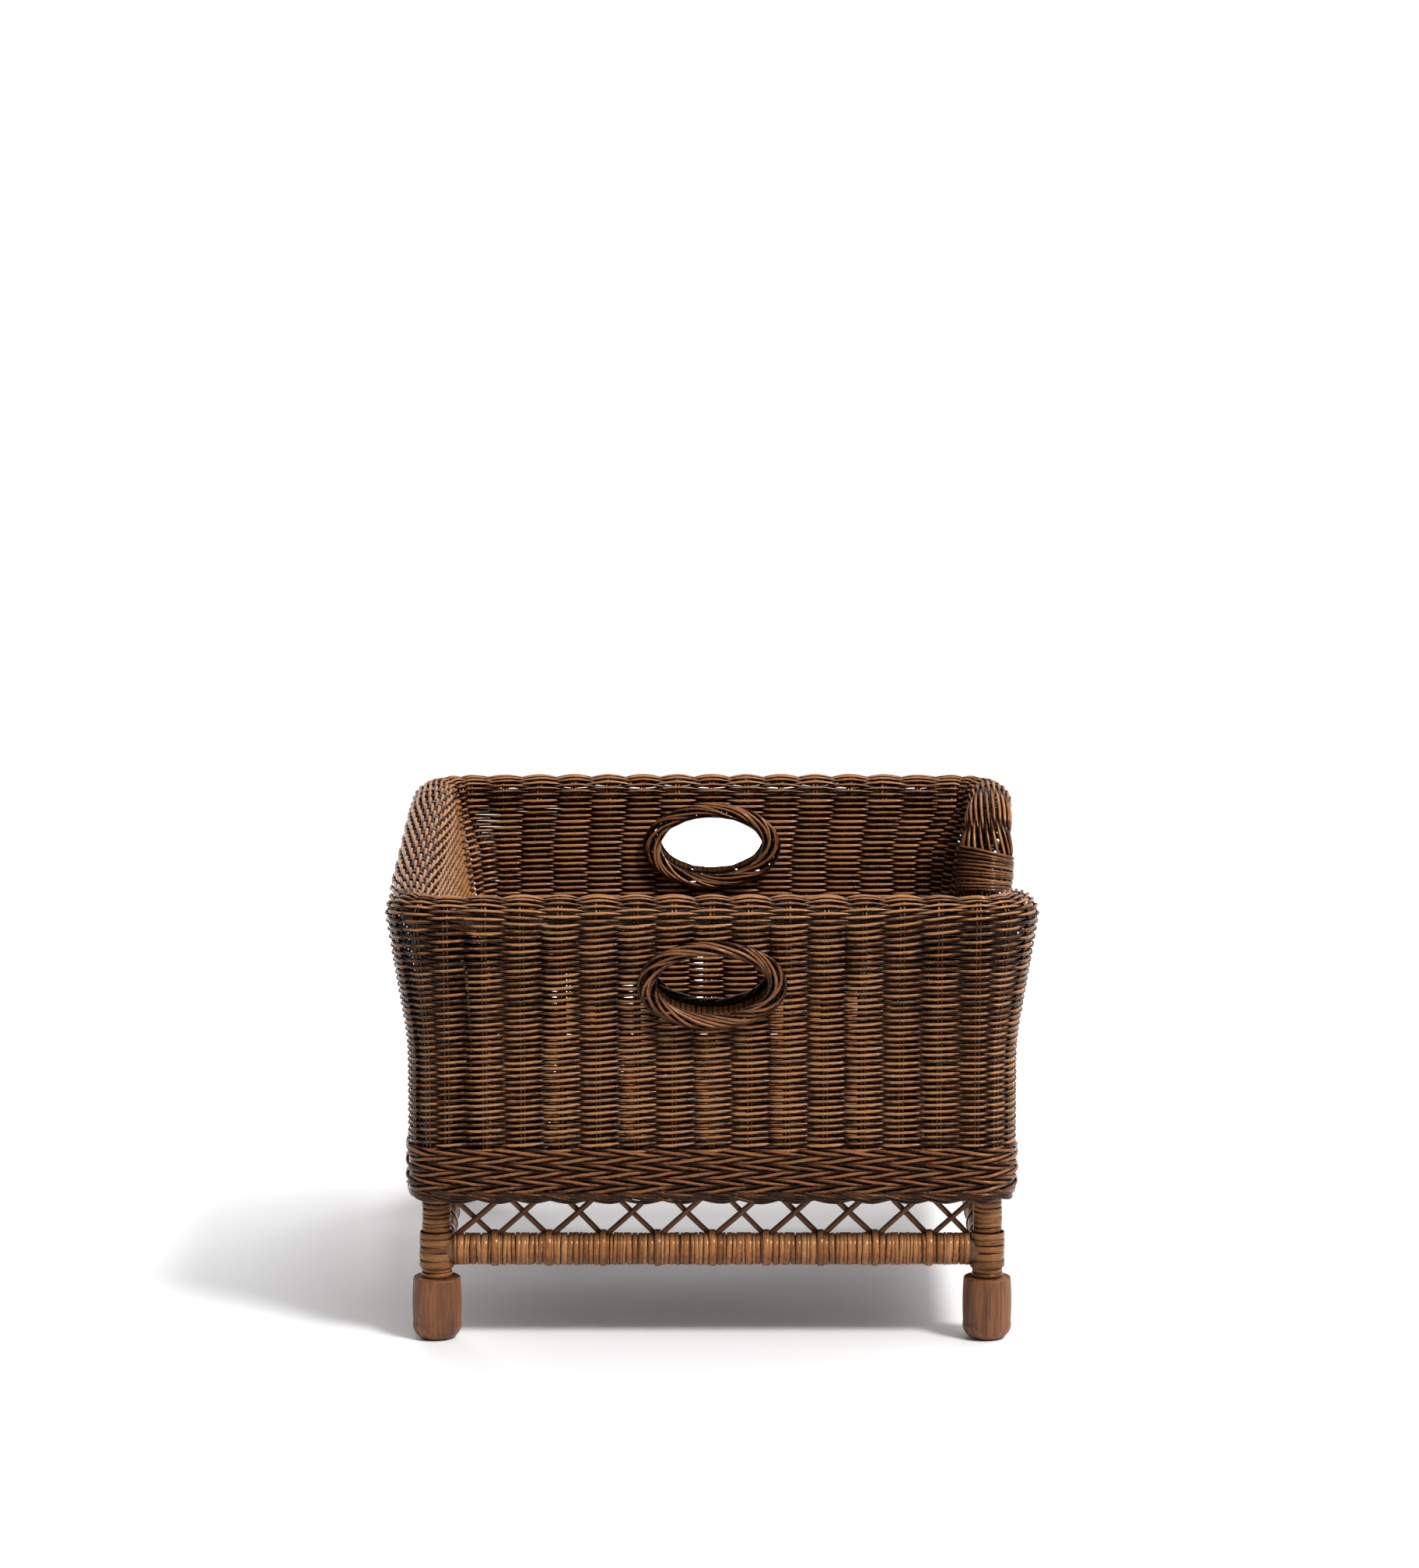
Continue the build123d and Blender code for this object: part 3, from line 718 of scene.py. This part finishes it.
def weave_rows(bundle, rows, side):
    first, last = SPANS[side]
    columns = np.arange(first * STEPS, last * STEPS + 1) % (STAKES * STEPS)
    for row in rows:
        points = PATHS[row, columns].copy()
        facing = FACING[row, columns]
        along = PATH_ALONG[row, columns]
        kept = ~in_hand_hole(points, side)
        cut = side == "right" and GRID[row, 0, 2] > SILL_Z - ROW_PITCH / 2
        if cut:
            past = entrance_half_width(points[:, 2]) - np.abs(points[:, 1])
            kept &= past < ENTRANCE_TUCK
            dip = smooth((past + 2 * ENTRANCE_TUCK) / (3 * ENTRANCE_TUCK)) * TUCK_DEPTH
            points -= facing * dip[:, None]
        radius = CORE * vary(0.94, 1.05) * (1 + 0.04 * drift(np.arange(len(columns)) / STEPS, 1.0))
        radius *= INNER_THICKER if row >= FIRST_INNER else 1.0
        tone = rng.random()
        for start, end in runs(kept):
            if end - start < 3:
                continue
            part = slice(start, end)
            bundle.add(points[part], facing[part], radius[part], tone=tone,
                       depth=DEPTHS[row, columns][part], along=None if cut else along[part])


def stake_rods(bundle, rows, side):
    """Paired upright rods that the weavers pass round."""
    first, last = SPANS[side]
    rows = list(rows)
    rows_used = rows if rows[0] == 0 else [rows[0] - 1] + rows
    for stake in range(first, last):
        column = stake % STAKES * STEPS
        line = GRID[rows_used, column]
        sideways = ROUND_THE_WALL[rows_used, column]
        facing = FACING[rows_used, column]
        kept = ~in_hand_hole(line, side)
        if side == "right":
            kept &= line[:, 2] < entrance_height(line[0, 1]) + ENTRANCE_TUCK
        for way in (-1, 1):
            rod = line + sideways * (way * STAKE_APART * vary(0.95, 1.1))
            tone = rng.random()
            for start, end in runs(kept):
                if end - start >= 2:
                    bundle.add(rod[start:end], facing[start:end], STAKE, tone=tone, depth=0.2 * CORE)


def weave_walls():
    for side in SPANS:
        for part, rows in PARTS.items():
            node = f"{part}_{side}"
            if node == "rim_roll_right":
                continue
            weavers = Bundle(round_profile(8 if part != "inner_weave" else 7))
            weave_rows(weavers, rows, side)
            weavers.piece(f"weavers_{node}", WEAVE, node)
            rods = Bundle(round_profile(6))
            stake_rods(rods, range(OUTER_ROWS) if part == "outer_weave" else rows, side)
            rods.piece(f"stakes_{node}", WEAVE, node)
    hidden = Bundle(round_profile(6))
    for side in SPANS:
        weave_rows(hidden, range(HIDDEN_ROWS), side)
    hidden.piece("weavers_behind_waling", WEAVE, "waling_band")


def weave_entrance():
    """Roll round the low entrance; its rows run outwards on the way down each drop."""
    node = "entrance_roll"
    count = len(ENTRANCE)
    stake = SPANS["right"][0] + np.arange(count) / STEPS
    weavers = Bundle()
    slant = ENTRANCE_SLANT * smooth((ROLL_Z + 10 * MM - ENTRANCE[:, 2]) / (ROLL_Z - SILL_Z))
    from_end = np.minimum(np.arange(count), np.arange(count)[::-1]) / STEPS
    near = near_corner(CORNER_STAKES / 2 + from_end)
    for j in range(-6, ROLL_ROWS + 8):
        run = PI * ROLL_MID * j / (ROLL_ROWS + 1)
        turn = (run + row_climb(run) * near) / ROLL_MID + slant
        kept = (turn > -0.15) & (turn < PI + 0.15)
        facing = around(ENTRANCE_SIDE, ENTRANCE_UP, turn[:, None])
        depth = WAVE * np.cos(PI * (stake + OUTER_ROWS - 1 + j)) * (1 - CORNER_CALM * near)
        steady = smooth(from_end / 2)
        lift = drift(stake, 0.5 * MM) * steady
        up = np.cross(facing, ENTRANCE_ALONG)
        points = ENTRANCE + facing * (ROLL_MID + FATTEN + depth)[:, None] + up * lift[:, None]
        width = CORE * vary(0.95, 1.05)
        for start, end in runs(kept):
            if end - start > 3:
                part = slice(start, end)
                weavers.add(points[part], facing[part], width, depth=depth[part])
    weavers.piece("weavers_entrance_roll", WEAVE, node)
    rods = Bundle(round_profile(6))
    turns = np.linspace(-0.1, PI + 0.1, 20)[:, None]
    for number in range(ENTRANCE_STAKES):
        at = number * STEPS
        facing = around(ENTRANCE_SIDE[at], ENTRANCE_UP[at], turns)
        middle_line = ENTRANCE[at] + facing * (ROLL_MID + FATTEN[at])
        for way in (-1, 1):
            rods.add(middle_line + ENTRANCE_ALONG[at] * way * STAKE_APART, facing, STAKE, depth=-CORE)
    rods.piece("stakes_entrance_roll", WEAVE, node)


def bind_entrance():
    """Strands wound round the steep part of the entrance roll, near its foot."""
    loops, radius = 12, 1.95 * MM
    for side, sign in (("front", -1), ("back", 1)):
        node = f"entrance_wrap_{side}"
        near = np.argmin(np.abs(FALLING[:-1, 2] - middle(node).z))
        at = near if sign < 0 else len(ENTRANCE) - 1 - near
        wound = Bundle()
        turns = np.linspace(-0.55, PI + 0.55, 30)[:, None]
        for loop in range(loops):
            place = loop - (loops - 1) / 2
            shift = place * 3.7 * MM + 3.5 * MM
            sag = vary(-1, 1, 3) * 0.7 * MM
            fan = (place * 0.5 - 1.6) * MM * np.cos(turns)
            reach = ROLL_RADIUS + FATTEN[at] + radius * vary(0.5, 1.0)
            facing = around(ENTRANCE_SIDE[at], ENTRANCE_UP[at], turns)
            hug = reach - 5 * MM * smooth(np.abs(turns - PI / 2) - PI / 2 + 0.1)
            slide = shift + sag[0] + sag[1] * np.cos(turns) + sag[2] * np.sin(2 * turns) - fan
            centre = ENTRANCE[at] + facing * hug + ENTRANCE_ALONG[at] * slide * -sign
            wound.add(centre, facing, radius * vary(0.9, 1.05), depth=CORE)
        wound.piece(f"binding_{node}", TWIST, node)


# ---- base trim
TRIM_PITCHES = 69
TRIM_HALVES = (HALF_WIDTH - OUTER_CORNER, HALF_DEPTH - OUTER_CORNER)
TRIM_LENGTHS = arc_lengths(*TRIM_HALVES, OUTER_CORNER)
TRIM_PITCH = sum(TRIM_LENGTHS) / TRIM_PITCHES


def smooth_through(t, places, values):
    """Values at t on an eased line through the given knots."""
    fine = np.linspace(0, 1, 201)
    line = np.interp(fine, places, values)
    window = np.hanning(37)
    padded = np.pad(line, 18, mode="edge")
    return np.interp(t, fine, np.convolve(padded, window / window.sum(), mode="valid"))


def along_base(place, proud, z):
    """Points round the foot of the weave, `proud` of its face, with outward directions."""
    xy, out = rounded_outline(place, TRIM_LENGTHS, *TRIM_HALVES, OUTER_CORNER)
    outward = np.column_stack([out, np.zeros(len(place))])
    points = np.column_stack([xy, np.broadcast_to(z, len(place))]) + outward * np.reshape(proud, (-1, 1))
    return points, outward


def weave_waling():
    """Six bands of three twisted weavers, turned each way in turn so that they make arrows."""
    bands, per_band, radius = 6, 3, 1.75 * MM
    deep, high = 2.6 * MM, 2.9 * MM
    top = WALING_HIGH - 0.5 * MM
    pitch = (WALING_HIGH - WALING_LOW + 3.5 * MM) / bands
    stake = np.arange(TRIM_PITCHES * STEPS) / STEPS
    bundle = Bundle()
    for band in range(bands):
        slope = -1 if band % 2 == 0 else 1
        centre = top - (band + 0.5) * pitch
        offset = rng.random()
        for number in range(per_band):
            turn = TAU * (stake / per_band + number / per_band + offset)
            wander = drift(stake * TAU / TRIM_PITCHES, 0.0) + 0.25 * MM * np.sin(turn * 3 + number)
            proud = deep * np.cos(turn) - 1.1 * MM
            z = centre + slope * high * np.sin(turn) + wander
            points, outward = along_base(stake * TRIM_PITCH, proud, z)
            bundle.add(points, outward, radius * vary(0.95, 1.05), depth=deep * np.cos(turn),
                       reach=deep + radius, closed=True)
    bundle.piece("waling", TWIST, "waling_band")


def weave_border():
    """Foot border: from each stake four strands slant down to the right and tuck under the next."""
    radius, span, strands = 1.7 * MM, 2.7, 4
    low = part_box("border_rope")[0].z + radius
    start_z = WALING_LOW - 1.0 * MM
    t = np.linspace(0, 1, 19)
    fall_key = ([0, 0.12, 0.3, 0.5, 0.62, 0.8, 1.0], [0, 0.06, 0.42, 0.86, 1.0, 0.72, 0.25])
    proud_key = ([0, 0.12, 0.3, 0.48, 0.64, 0.82, 1.0], [-5.5, -2.4, 0.9, 1.0, -0.6, -4.0, -7.5])
    bundle = Bundle()
    for group in range(TRIM_PITCHES):
        for strand in range(strands):
            bottom = low + (strands - 1 - strand) * 2.5 * MM
            z = start_z + (bottom - start_z) * smooth_through(t, *fall_key) + rng.normal(0, 0.2 * MM)
            sunk = 0.9 * MM + 0.4 * MM * strand
            proud = smooth_through(t, *proud_key) * MM - sunk + rng.normal(0, 0.2 * MM)
            place = (group + span * t - 0.12 * strand + 0.04 * rng.normal()) * TRIM_PITCH
            points, outward = along_base(place, proud, z)
            bundle.add(points, outward, radius * vary(0.92, 1.06), depth=proud + 0.6 * MM,
                       reach=3.2 * MM)
    bundle.piece("border", TWIST, "border_rope")


# ---- hand holes
RING_PATH = (64 * MM, 38.4 * MM)
LINING_PATH = (57.8 * MM, 32.3 * MM)


def ellipse_line(axes, count):
    """Evenly spaced points of an ellipse in its own plane, with outward directions."""
    fine = np.linspace(0, TAU, 2001)
    points = np.column_stack([axes[0] * np.cos(fine), axes[1] * np.sin(fine)])
    length = np.concatenate([[0], np.cumsum(np.linalg.norm(np.diff(points, axis=0), axis=1))])
    angle = np.interp(np.arange(count) / count * length[-1], length, fine)
    place = np.column_stack([axes[0] * np.cos(angle), axes[1] * np.sin(angle)])
    outward = unit(np.column_stack([axes[1] * np.cos(angle), axes[0] * np.sin(angle)]))
    return place, outward


def handle_frame(side, face):
    """Centre, up and outward of a ring on the outer or inner face of an end wall."""
    sign = -1 if side == "front" else 1
    away = sign if face == "outer" else -sign
    lean = math.atan(FLARE / (ROLL_Z - FLARE_BEND_Z))
    outward = np.array([0, away * math.cos(lean), -away * sign * math.sin(lean)])
    up = np.array([0, sign * math.sin(lean), math.cos(lean)])
    return np.array(middle(f"handle_ring_{side}_{face}")), up, outward


def twist_handle_ring(side, face):
    """Strands laid together in a ring and twisted."""
    centre, up, outward = handle_frame(side, face)
    strands, radius, count = 11, 1.65 * MM, 130
    deep = 4.8 * MM
    place, away = ellipse_line(RING_PATH, count)
    loop = full_turn(count)
    bundle = Bundle()
    for strand in range(strands):
        uneven = 0.28 * np.sin(loop * rng.integers(2, 5) + vary(0, 6.3))
        turn = TAU * strand / strands - 2 * loop + uneven
        wide = (6.3 + 2.2 * away[:, :1] ** 2) * MM
        radial = wide * np.cos(turn)[:, None] * (away[:, :1] * SIDEWAYS + away[:, 1:] * up)
        swell = 1 + 0.08 * np.sin(loop * 3 + strand)
        off = (deep * np.sin(turn) * swell)[:, None] * outward
        points = centre + place[:, :1] * SIDEWAYS + place[:, 1:] * up + radial + off
        facing = radial / wide + off / deep
        bundle.add(points, facing, radius * vary(0.88, 1.08), depth=deep * np.sin(turn),
                   reach=deep + radius, closed=True)
    node = f"handle_ring_{side}_{face}"
    bundle.piece(f"twisted_{node}", TWIST, node)


def line_hand_hole(side):
    """Flat strips laid side by side into the wall, and beyond them near-black strips whose colour is
    painted shade deep in the hole.
    """
    node = f"handle_liner_{side}"
    outer, up, outward = handle_frame(side, "outer")
    inner = handle_frame(side, "inner")[0]
    strips, meet = 54, 0.5
    place, away = ellipse_line(LINING_PATH, strips)
    t = np.linspace(0, 1, 9)[:, None]
    for name, start_at, end_at, sunk, material in (("outer", 0.0, meet, 0.0, DARK_CANE),
                                                   ("inner", meet - 0.04, 1.0, 1.6, SHADED_CANE)):
        bundle = Bundle(FLAT_PROFILE)
        for strip in range(strips):
            out = away[strip, 0] * SIDEWAYS + away[strip, 1] * up
            through = start_at + (end_at - start_at) * t
            centre = outer + (inner - outer) * through + place[strip, 0] * SIDEWAYS + place[strip, 1] * up
            bow = (sunk + vary(-0.25, 0.25) - 0.9 * np.sin(PI * t)) * MM
            sideways = np.cross(out, outward) * rng.normal(0, 0.3 * MM) * t
            bundle.add(centre + out * bow + sideways, -out, 2.62 * MM * vary(0.86, 1.02), 1.1 * MM,
                       depth=0, reach=1.1 * MM)
        bundle.piece(f"strips_{name}_{node}", material, node)


# ---- legs, rails and lattice
LASHING_HALF = 18 * MM


def ring_points(centre, axis, radius, tilt):
    """Closed loop round an axis, tipped a little, with outward directions."""
    first = unit(np.cross(axis, (0, 0, 1) if abs(axis[2]) < 0.5 else (1, 0, 0)))
    second = np.cross(axis, first)
    turn = full_turn(26)
    outward = around(first, second, turn[:, None])
    lean = tilt * np.sin(turn + vary(0, 6.3))
    points = centre + outward * radius + axis * lean[:, None]
    return points, outward


def wind(bundle, start, end, radius, strip, uneven):
    """Flat strips wound side by side from start to end round a straight bar."""
    thickness = 1.0 * MM
    start, end = np.array(start, float), np.array(end, float)
    length = np.linalg.norm(end - start)
    axis = (end - start) / length
    count = max(1, round(length / strip))
    widths = vary(1 - uneven, 1 + uneven, count)
    widths *= length / widths.sum()
    edge = 0.0
    for width in widths:
        at = start + axis * (edge + width / 2)
        edge += width
        lift = radius + vary(-0.3, 0.35) * MM
        points, outward = ring_points(at, axis, lift, vary(-0.9, 0.9) * MM)
        bundle.add(points, outward, width / 2 * vary(0.93, 1.04), thickness, reach=thickness, closed=True)


def bind_posts():
    """Cane on each post, with a thicker lashing where the rails meet it."""
    lashing_low, lashing_high = RAIL_Z - LASHING_HALF, RAIL_Z + LASHING_HALF
    inner = POST_RADIUS + 1.6 * MM
    for corner, sx, sy in (("front_left", -1, -1), ("front_right", 1, -1),
                           ("back_left", -1, 1), ("back_right", 1, 1)):
        x, y = sx * POST_X, sy * POST_Y
        cane = Bundle(FLAT_PROFILE)
        wind(cane, (x, y, FOOT_TOP + 0.5 * MM), (x, y, lashing_low), inner + 0.8 * MM, 4.6 * MM, 0.3)
        wind(cane, (x, y, lashing_low), (x, y, lashing_high), LASHING_RADIUS - 0.6 * MM, 6.6 * MM, 0.35)
        wind(cane, (x, y, lashing_high), (x, y, BINDING_TOP + 12 * MM), inner, 5.0 * MM, 0.3)
        cane.piece(f"cane_post_{corner}", POST_CANE, f"post_binding_{corner}")


def rail_ends(side):
    low, high = (np.array(corner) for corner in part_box(f"rail_binding_{side}"))
    across = 1 if side in ("front", "back") else 0
    low[across] = high[across] = (low[across] + high[across]) / 2
    low[2] = high[2] = RAIL_Z
    return low, high


def bind_rails():
    for side in SPANS:
        cane = Bundle(FLAT_PROFILE)
        wind(cane, *rail_ends(side), RAIL_RADIUS + 1.7 * MM, 4.7 * MM, 0.45)
        cane.piece(f"cane_rail_{side}", CANE, f"rail_binding_{side}")


LATTICE_PITCH = 53.7 * MM  # from one tie to the next
LATTICE_FOOT = 5.6 * MM  # the two rods of a tie stand this far each side of it
LATTICE_LAYER = 2.7 * MM  # rods that lean one way lie this far in front, the others behind
LATTICE_ROD = 2.75 * MM


def side_axes(side):
    """Along and outward directions of a side, its distance out and its half span between posts."""
    if side in ("front", "back"):
        sign = -1 if side == "front" else 1
        return np.array([1.0, 0, 0]), np.array([0, sign, 0.0]), POST_Y, POST_X
    sign = 1 if side == "right" else -1
    return np.array([0, 1.0, 0]), np.array([sign, 0, 0.0]), POST_X, POST_Y


def tie_places(span):
    count = int((span - LASHING_RADIUS - LATTICE_PITCH / 2) / LATTICE_PITCH)
    return [number * LATTICE_PITCH for number in range(-count, count + 1)]


def weave_lattice():
    """Round rods that cross above the rails and run up behind the border."""
    low, high = LATTICE_LOW.z - 1 * MM, LATTICE_HIGH.z + 6 * MM
    t = np.linspace(0, 1, 7)[:, None]
    for side in SPANS:
        along, outward, out, span = side_axes(side)
        bundle = Bundle(round_profile(10))
        for way in (-1, 1):
            places = [place + way * LATTICE_FOOT for place in tie_places(span)]
            places.append(-way * (span - LASHING_RADIUS - LATTICE_FOOT))
            for place in places:
                layer = out + way * LATTICE_LAYER * (1 if side in ("front", "right") else -1)
                start = along * (place - way * 3 * MM) + outward * layer + [0, 0, low - 3 * MM]
                lean = 1.12 if way > 0 else 1.0
                end = along * (place + way * (high - low) * lean) + outward * layer + [0, 0, high]
                end = end + along * rng.normal(0, 1.2 * MM)
                bend = along * rng.normal(0, 0.9 * MM) + outward * rng.normal(0, 0.25 * MM)
                points = start * (1 - t) + end * t + bend * np.sin(PI * t)
                bundle.add(points, outward, LATTICE_ROD * vary(0.93, 1.06), reach=LATTICE_ROD)
        bundle.piece(f"rods_lattice_{side}", LATTICE, f"lattice_{side}")


def tie_lattice():
    """Flat straps that hold the rods' feet on the rails."""
    thickness = 0.95 * MM
    turn = full_turn(30)[:, None]
    radius = RAIL_RADIUS + 2.9 * MM + 2.2 * MM * np.maximum(0, np.sin(turn)) ** 6
    bundle = Bundle(FLAT_PROFILE)
    for side in SPANS:
        along, outward, out, span = side_axes(side)
        for place in tie_places(span):
            centre = along * place + outward * out + [0, 0, RAIL_Z]
            facing = around(outward, UPWARDS, turn)
            sway = rng.normal(0, 0.5) * MM * np.cos(turn)
            points = centre + facing * radius + along * sway
            bundle.add(points, facing, 3.3 * MM * vary(0.9, 1.08), thickness, reach=thickness,
                       closed=True)
    bundle.piece("straps_lattice", CANE, "lattice_ties")


# ---- floor of the basket
def weave_deck():
    """Flat cane woven over cross rods."""
    pitch, half_thick, sway, corner_radius = 8.2 * MM, 1.15 * MM, 2.1 * MM, 24 * MM
    middle_z = (DECK_LOW.z + DECK_HIGH.z) / 2
    reach_x, reach_y = DECK_HIGH.x - 2 * MM, DECK_HIGH.y - 2 * MM
    half_count = END_STAKES // 2
    rod_pitch = 2 * reach_x / END_STAKES
    rows = int(2 * reach_y / pitch)
    strips = Bundle(FLAT_PROFILE)
    for row in range(rows + 1):
        y = (row - rows / 2) * pitch
        corner = max(0.0, abs(y) - (reach_y - corner_radius))
        half = reach_x - (corner_radius - math.sqrt(max(0.0, corner_radius ** 2 - corner ** 2)))
        stake = np.arange(-half_count * 6, half_count * 6 + 1) / 6
        x = np.clip(stake * rod_pitch, -half, half)
        depth = sway * np.cos(PI * (stake + row))
        points = np.column_stack([x, np.full(len(x), y), middle_z + depth])
        kept = np.abs(stake * rod_pitch) <= half + 1e-6
        strips.add(points[kept], UPWARDS, pitch * 0.47, half_thick, depth=depth[kept],
                   reach=sway + half_thick)
    strips.piece("weavers_deck", DECK, "woven_deck")
    rods = Bundle(round_profile(7))
    for number in range(-half_count, half_count + 1):
        for way in (-1, 1):
            x = number * rod_pitch * 0.985 + way * STAKE_APART
            half = reach_y - (10 * MM if abs(number) == half_count else 0)
            points = np.column_stack([np.full(12, x), np.linspace(-half, half, 12), np.full(12, middle_z)])
            rods.add(points, UPWARDS, STAKE, depth=-CORE, reach=WAVE)
    rods.piece("stakes_deck", WEAVE, "woven_deck")


def finish_cad_nodes():
    """Better materials on the CAD nodes whose shape already is the real one."""
    finishes = {"foot_pins": PIN_STEEL, "foot_": FOOT_WOOD}
    for name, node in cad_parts.items():
        chosen = next((finishes[key] for key in finishes if name.startswith(key)), POLE)
        node.data.materials.clear()
        node.data.materials.append(chosen)


# ---- studio
ROOM_GLOW, BACK_GLOW, TOP_GLOW = 0.06, 0.6, 1.6
KEY_POWER, LOW_POWER = 2.45, 170.0
KEY_SPREAD = math.radians(14)
KEY_AIM, LOW_AIM = (-0.492, 0.413, -0.766), (0, -2.4, -0.42)
CAMERA_LENS = 155.67
CAMERA_PLACE = (-0.0025, -6.8627, 1.675)
CAMERA_DIP = math.radians(9.705)


def build_floor():
    reach = 60.0
    corners = [(-reach, -reach, 0), (reach, -reach, 0), (reach, reach, 0), (-reach, reach, 0)]
    paper = bpy.data.meshes.new("floor")
    paper.from_pydata(corners, [], [(0, 1, 2, 3)])
    floor = add_object("floor", paper)
    material, _, shader = start_material("floor_paper")
    set_inputs(shader, {"Base Color": (0.9, 0.9, 0.9, 1), "Roughness": 0.9, "Specular IOR Level": 0.1})
    paper.materials.append(material)


def toward(tree, direction, low, high, glow):
    """Light that grows as one looks from `low` to `high` along a direction."""
    place = tree.nodes.new("ShaderNodeTexCoord").outputs["Generated"]
    dot = tree.nodes.new("ShaderNodeVectorMath")
    dot.operation = "DOT_PRODUCT"
    dot.inputs[1].default_value = direction
    tree.links.new(place, dot.inputs[0])
    return spread(tree, dot.outputs["Value"], low, high, 0.0, glow)


def build_lights():
    """White wall and a low strip behind, soft light overhead, a hard key from the right."""
    world = bpy.data.worlds.new("studio")
    world.use_nodes = True
    tree = world.node_tree
    background = next(n for n in tree.nodes if n.type == "BACKGROUND")
    background.inputs["Color"].default_value = (1, 1, 1, 1)
    wall = toward(tree, (0, 1, 0), 0.2, 1.0, BACK_GLOW)
    box = toward(tree, (0.45, 0.0, 0.89), 0.5, 1.0, TOP_GLOW)
    strength = maths(tree, "ADD", maths(tree, "ADD", wall, box), ROOM_GLOW)
    tree.links.new(strength, background.inputs["Strength"])
    bpy.context.scene.world = world
    sun = bpy.data.lights.new("key", "SUN")
    sun.energy = KEY_POWER
    sun.angle = KEY_SPREAD
    key = add_object("key", sun)
    key.rotation_euler = Vector(KEY_AIM).to_track_quat("-Z", "Y").to_euler()
    strip = bpy.data.lights.new("low_strip", "AREA")
    strip.shape = "RECTANGLE"
    strip.size, strip.size_y = 3.2, 0.9
    strip.energy = LOW_POWER
    low = add_object("low_strip", strip)
    low.location = (0, 2.4, 0.47)
    low.rotation_euler = Vector(LOW_AIM).to_track_quat("-Z", "Y").to_euler()
    low.visible_camera = False
    low.visible_glossy = False
    bpy.context.scene.view_settings.view_transform = "Standard"
    bpy.context.scene.view_settings.look = "None"


def build_camera():
    data = bpy.data.cameras.new("camera")
    data.sensor_width = 36.0
    data.lens = CAMERA_LENS
    data.clip_end = 200.0
    camera = add_object("camera", data)
    camera.location = CAMERA_PLACE
    camera.rotation_euler = (PI / 2 - CAMERA_DIP, 0, 0)
    bpy.context.scene.camera = camera


finish_cad_nodes()
weave_walls()
weave_entrance()
bind_entrance()
weave_waling()
weave_border()
for end in ("front", "back"):
    twist_handle_ring(end, "outer")
    twist_handle_ring(end, "inner")
    line_hand_hole(end)
bind_posts()
bind_rails()
weave_lattice()
tie_lattice()
weave_deck()
build_floor()
build_lights()
build_camera()
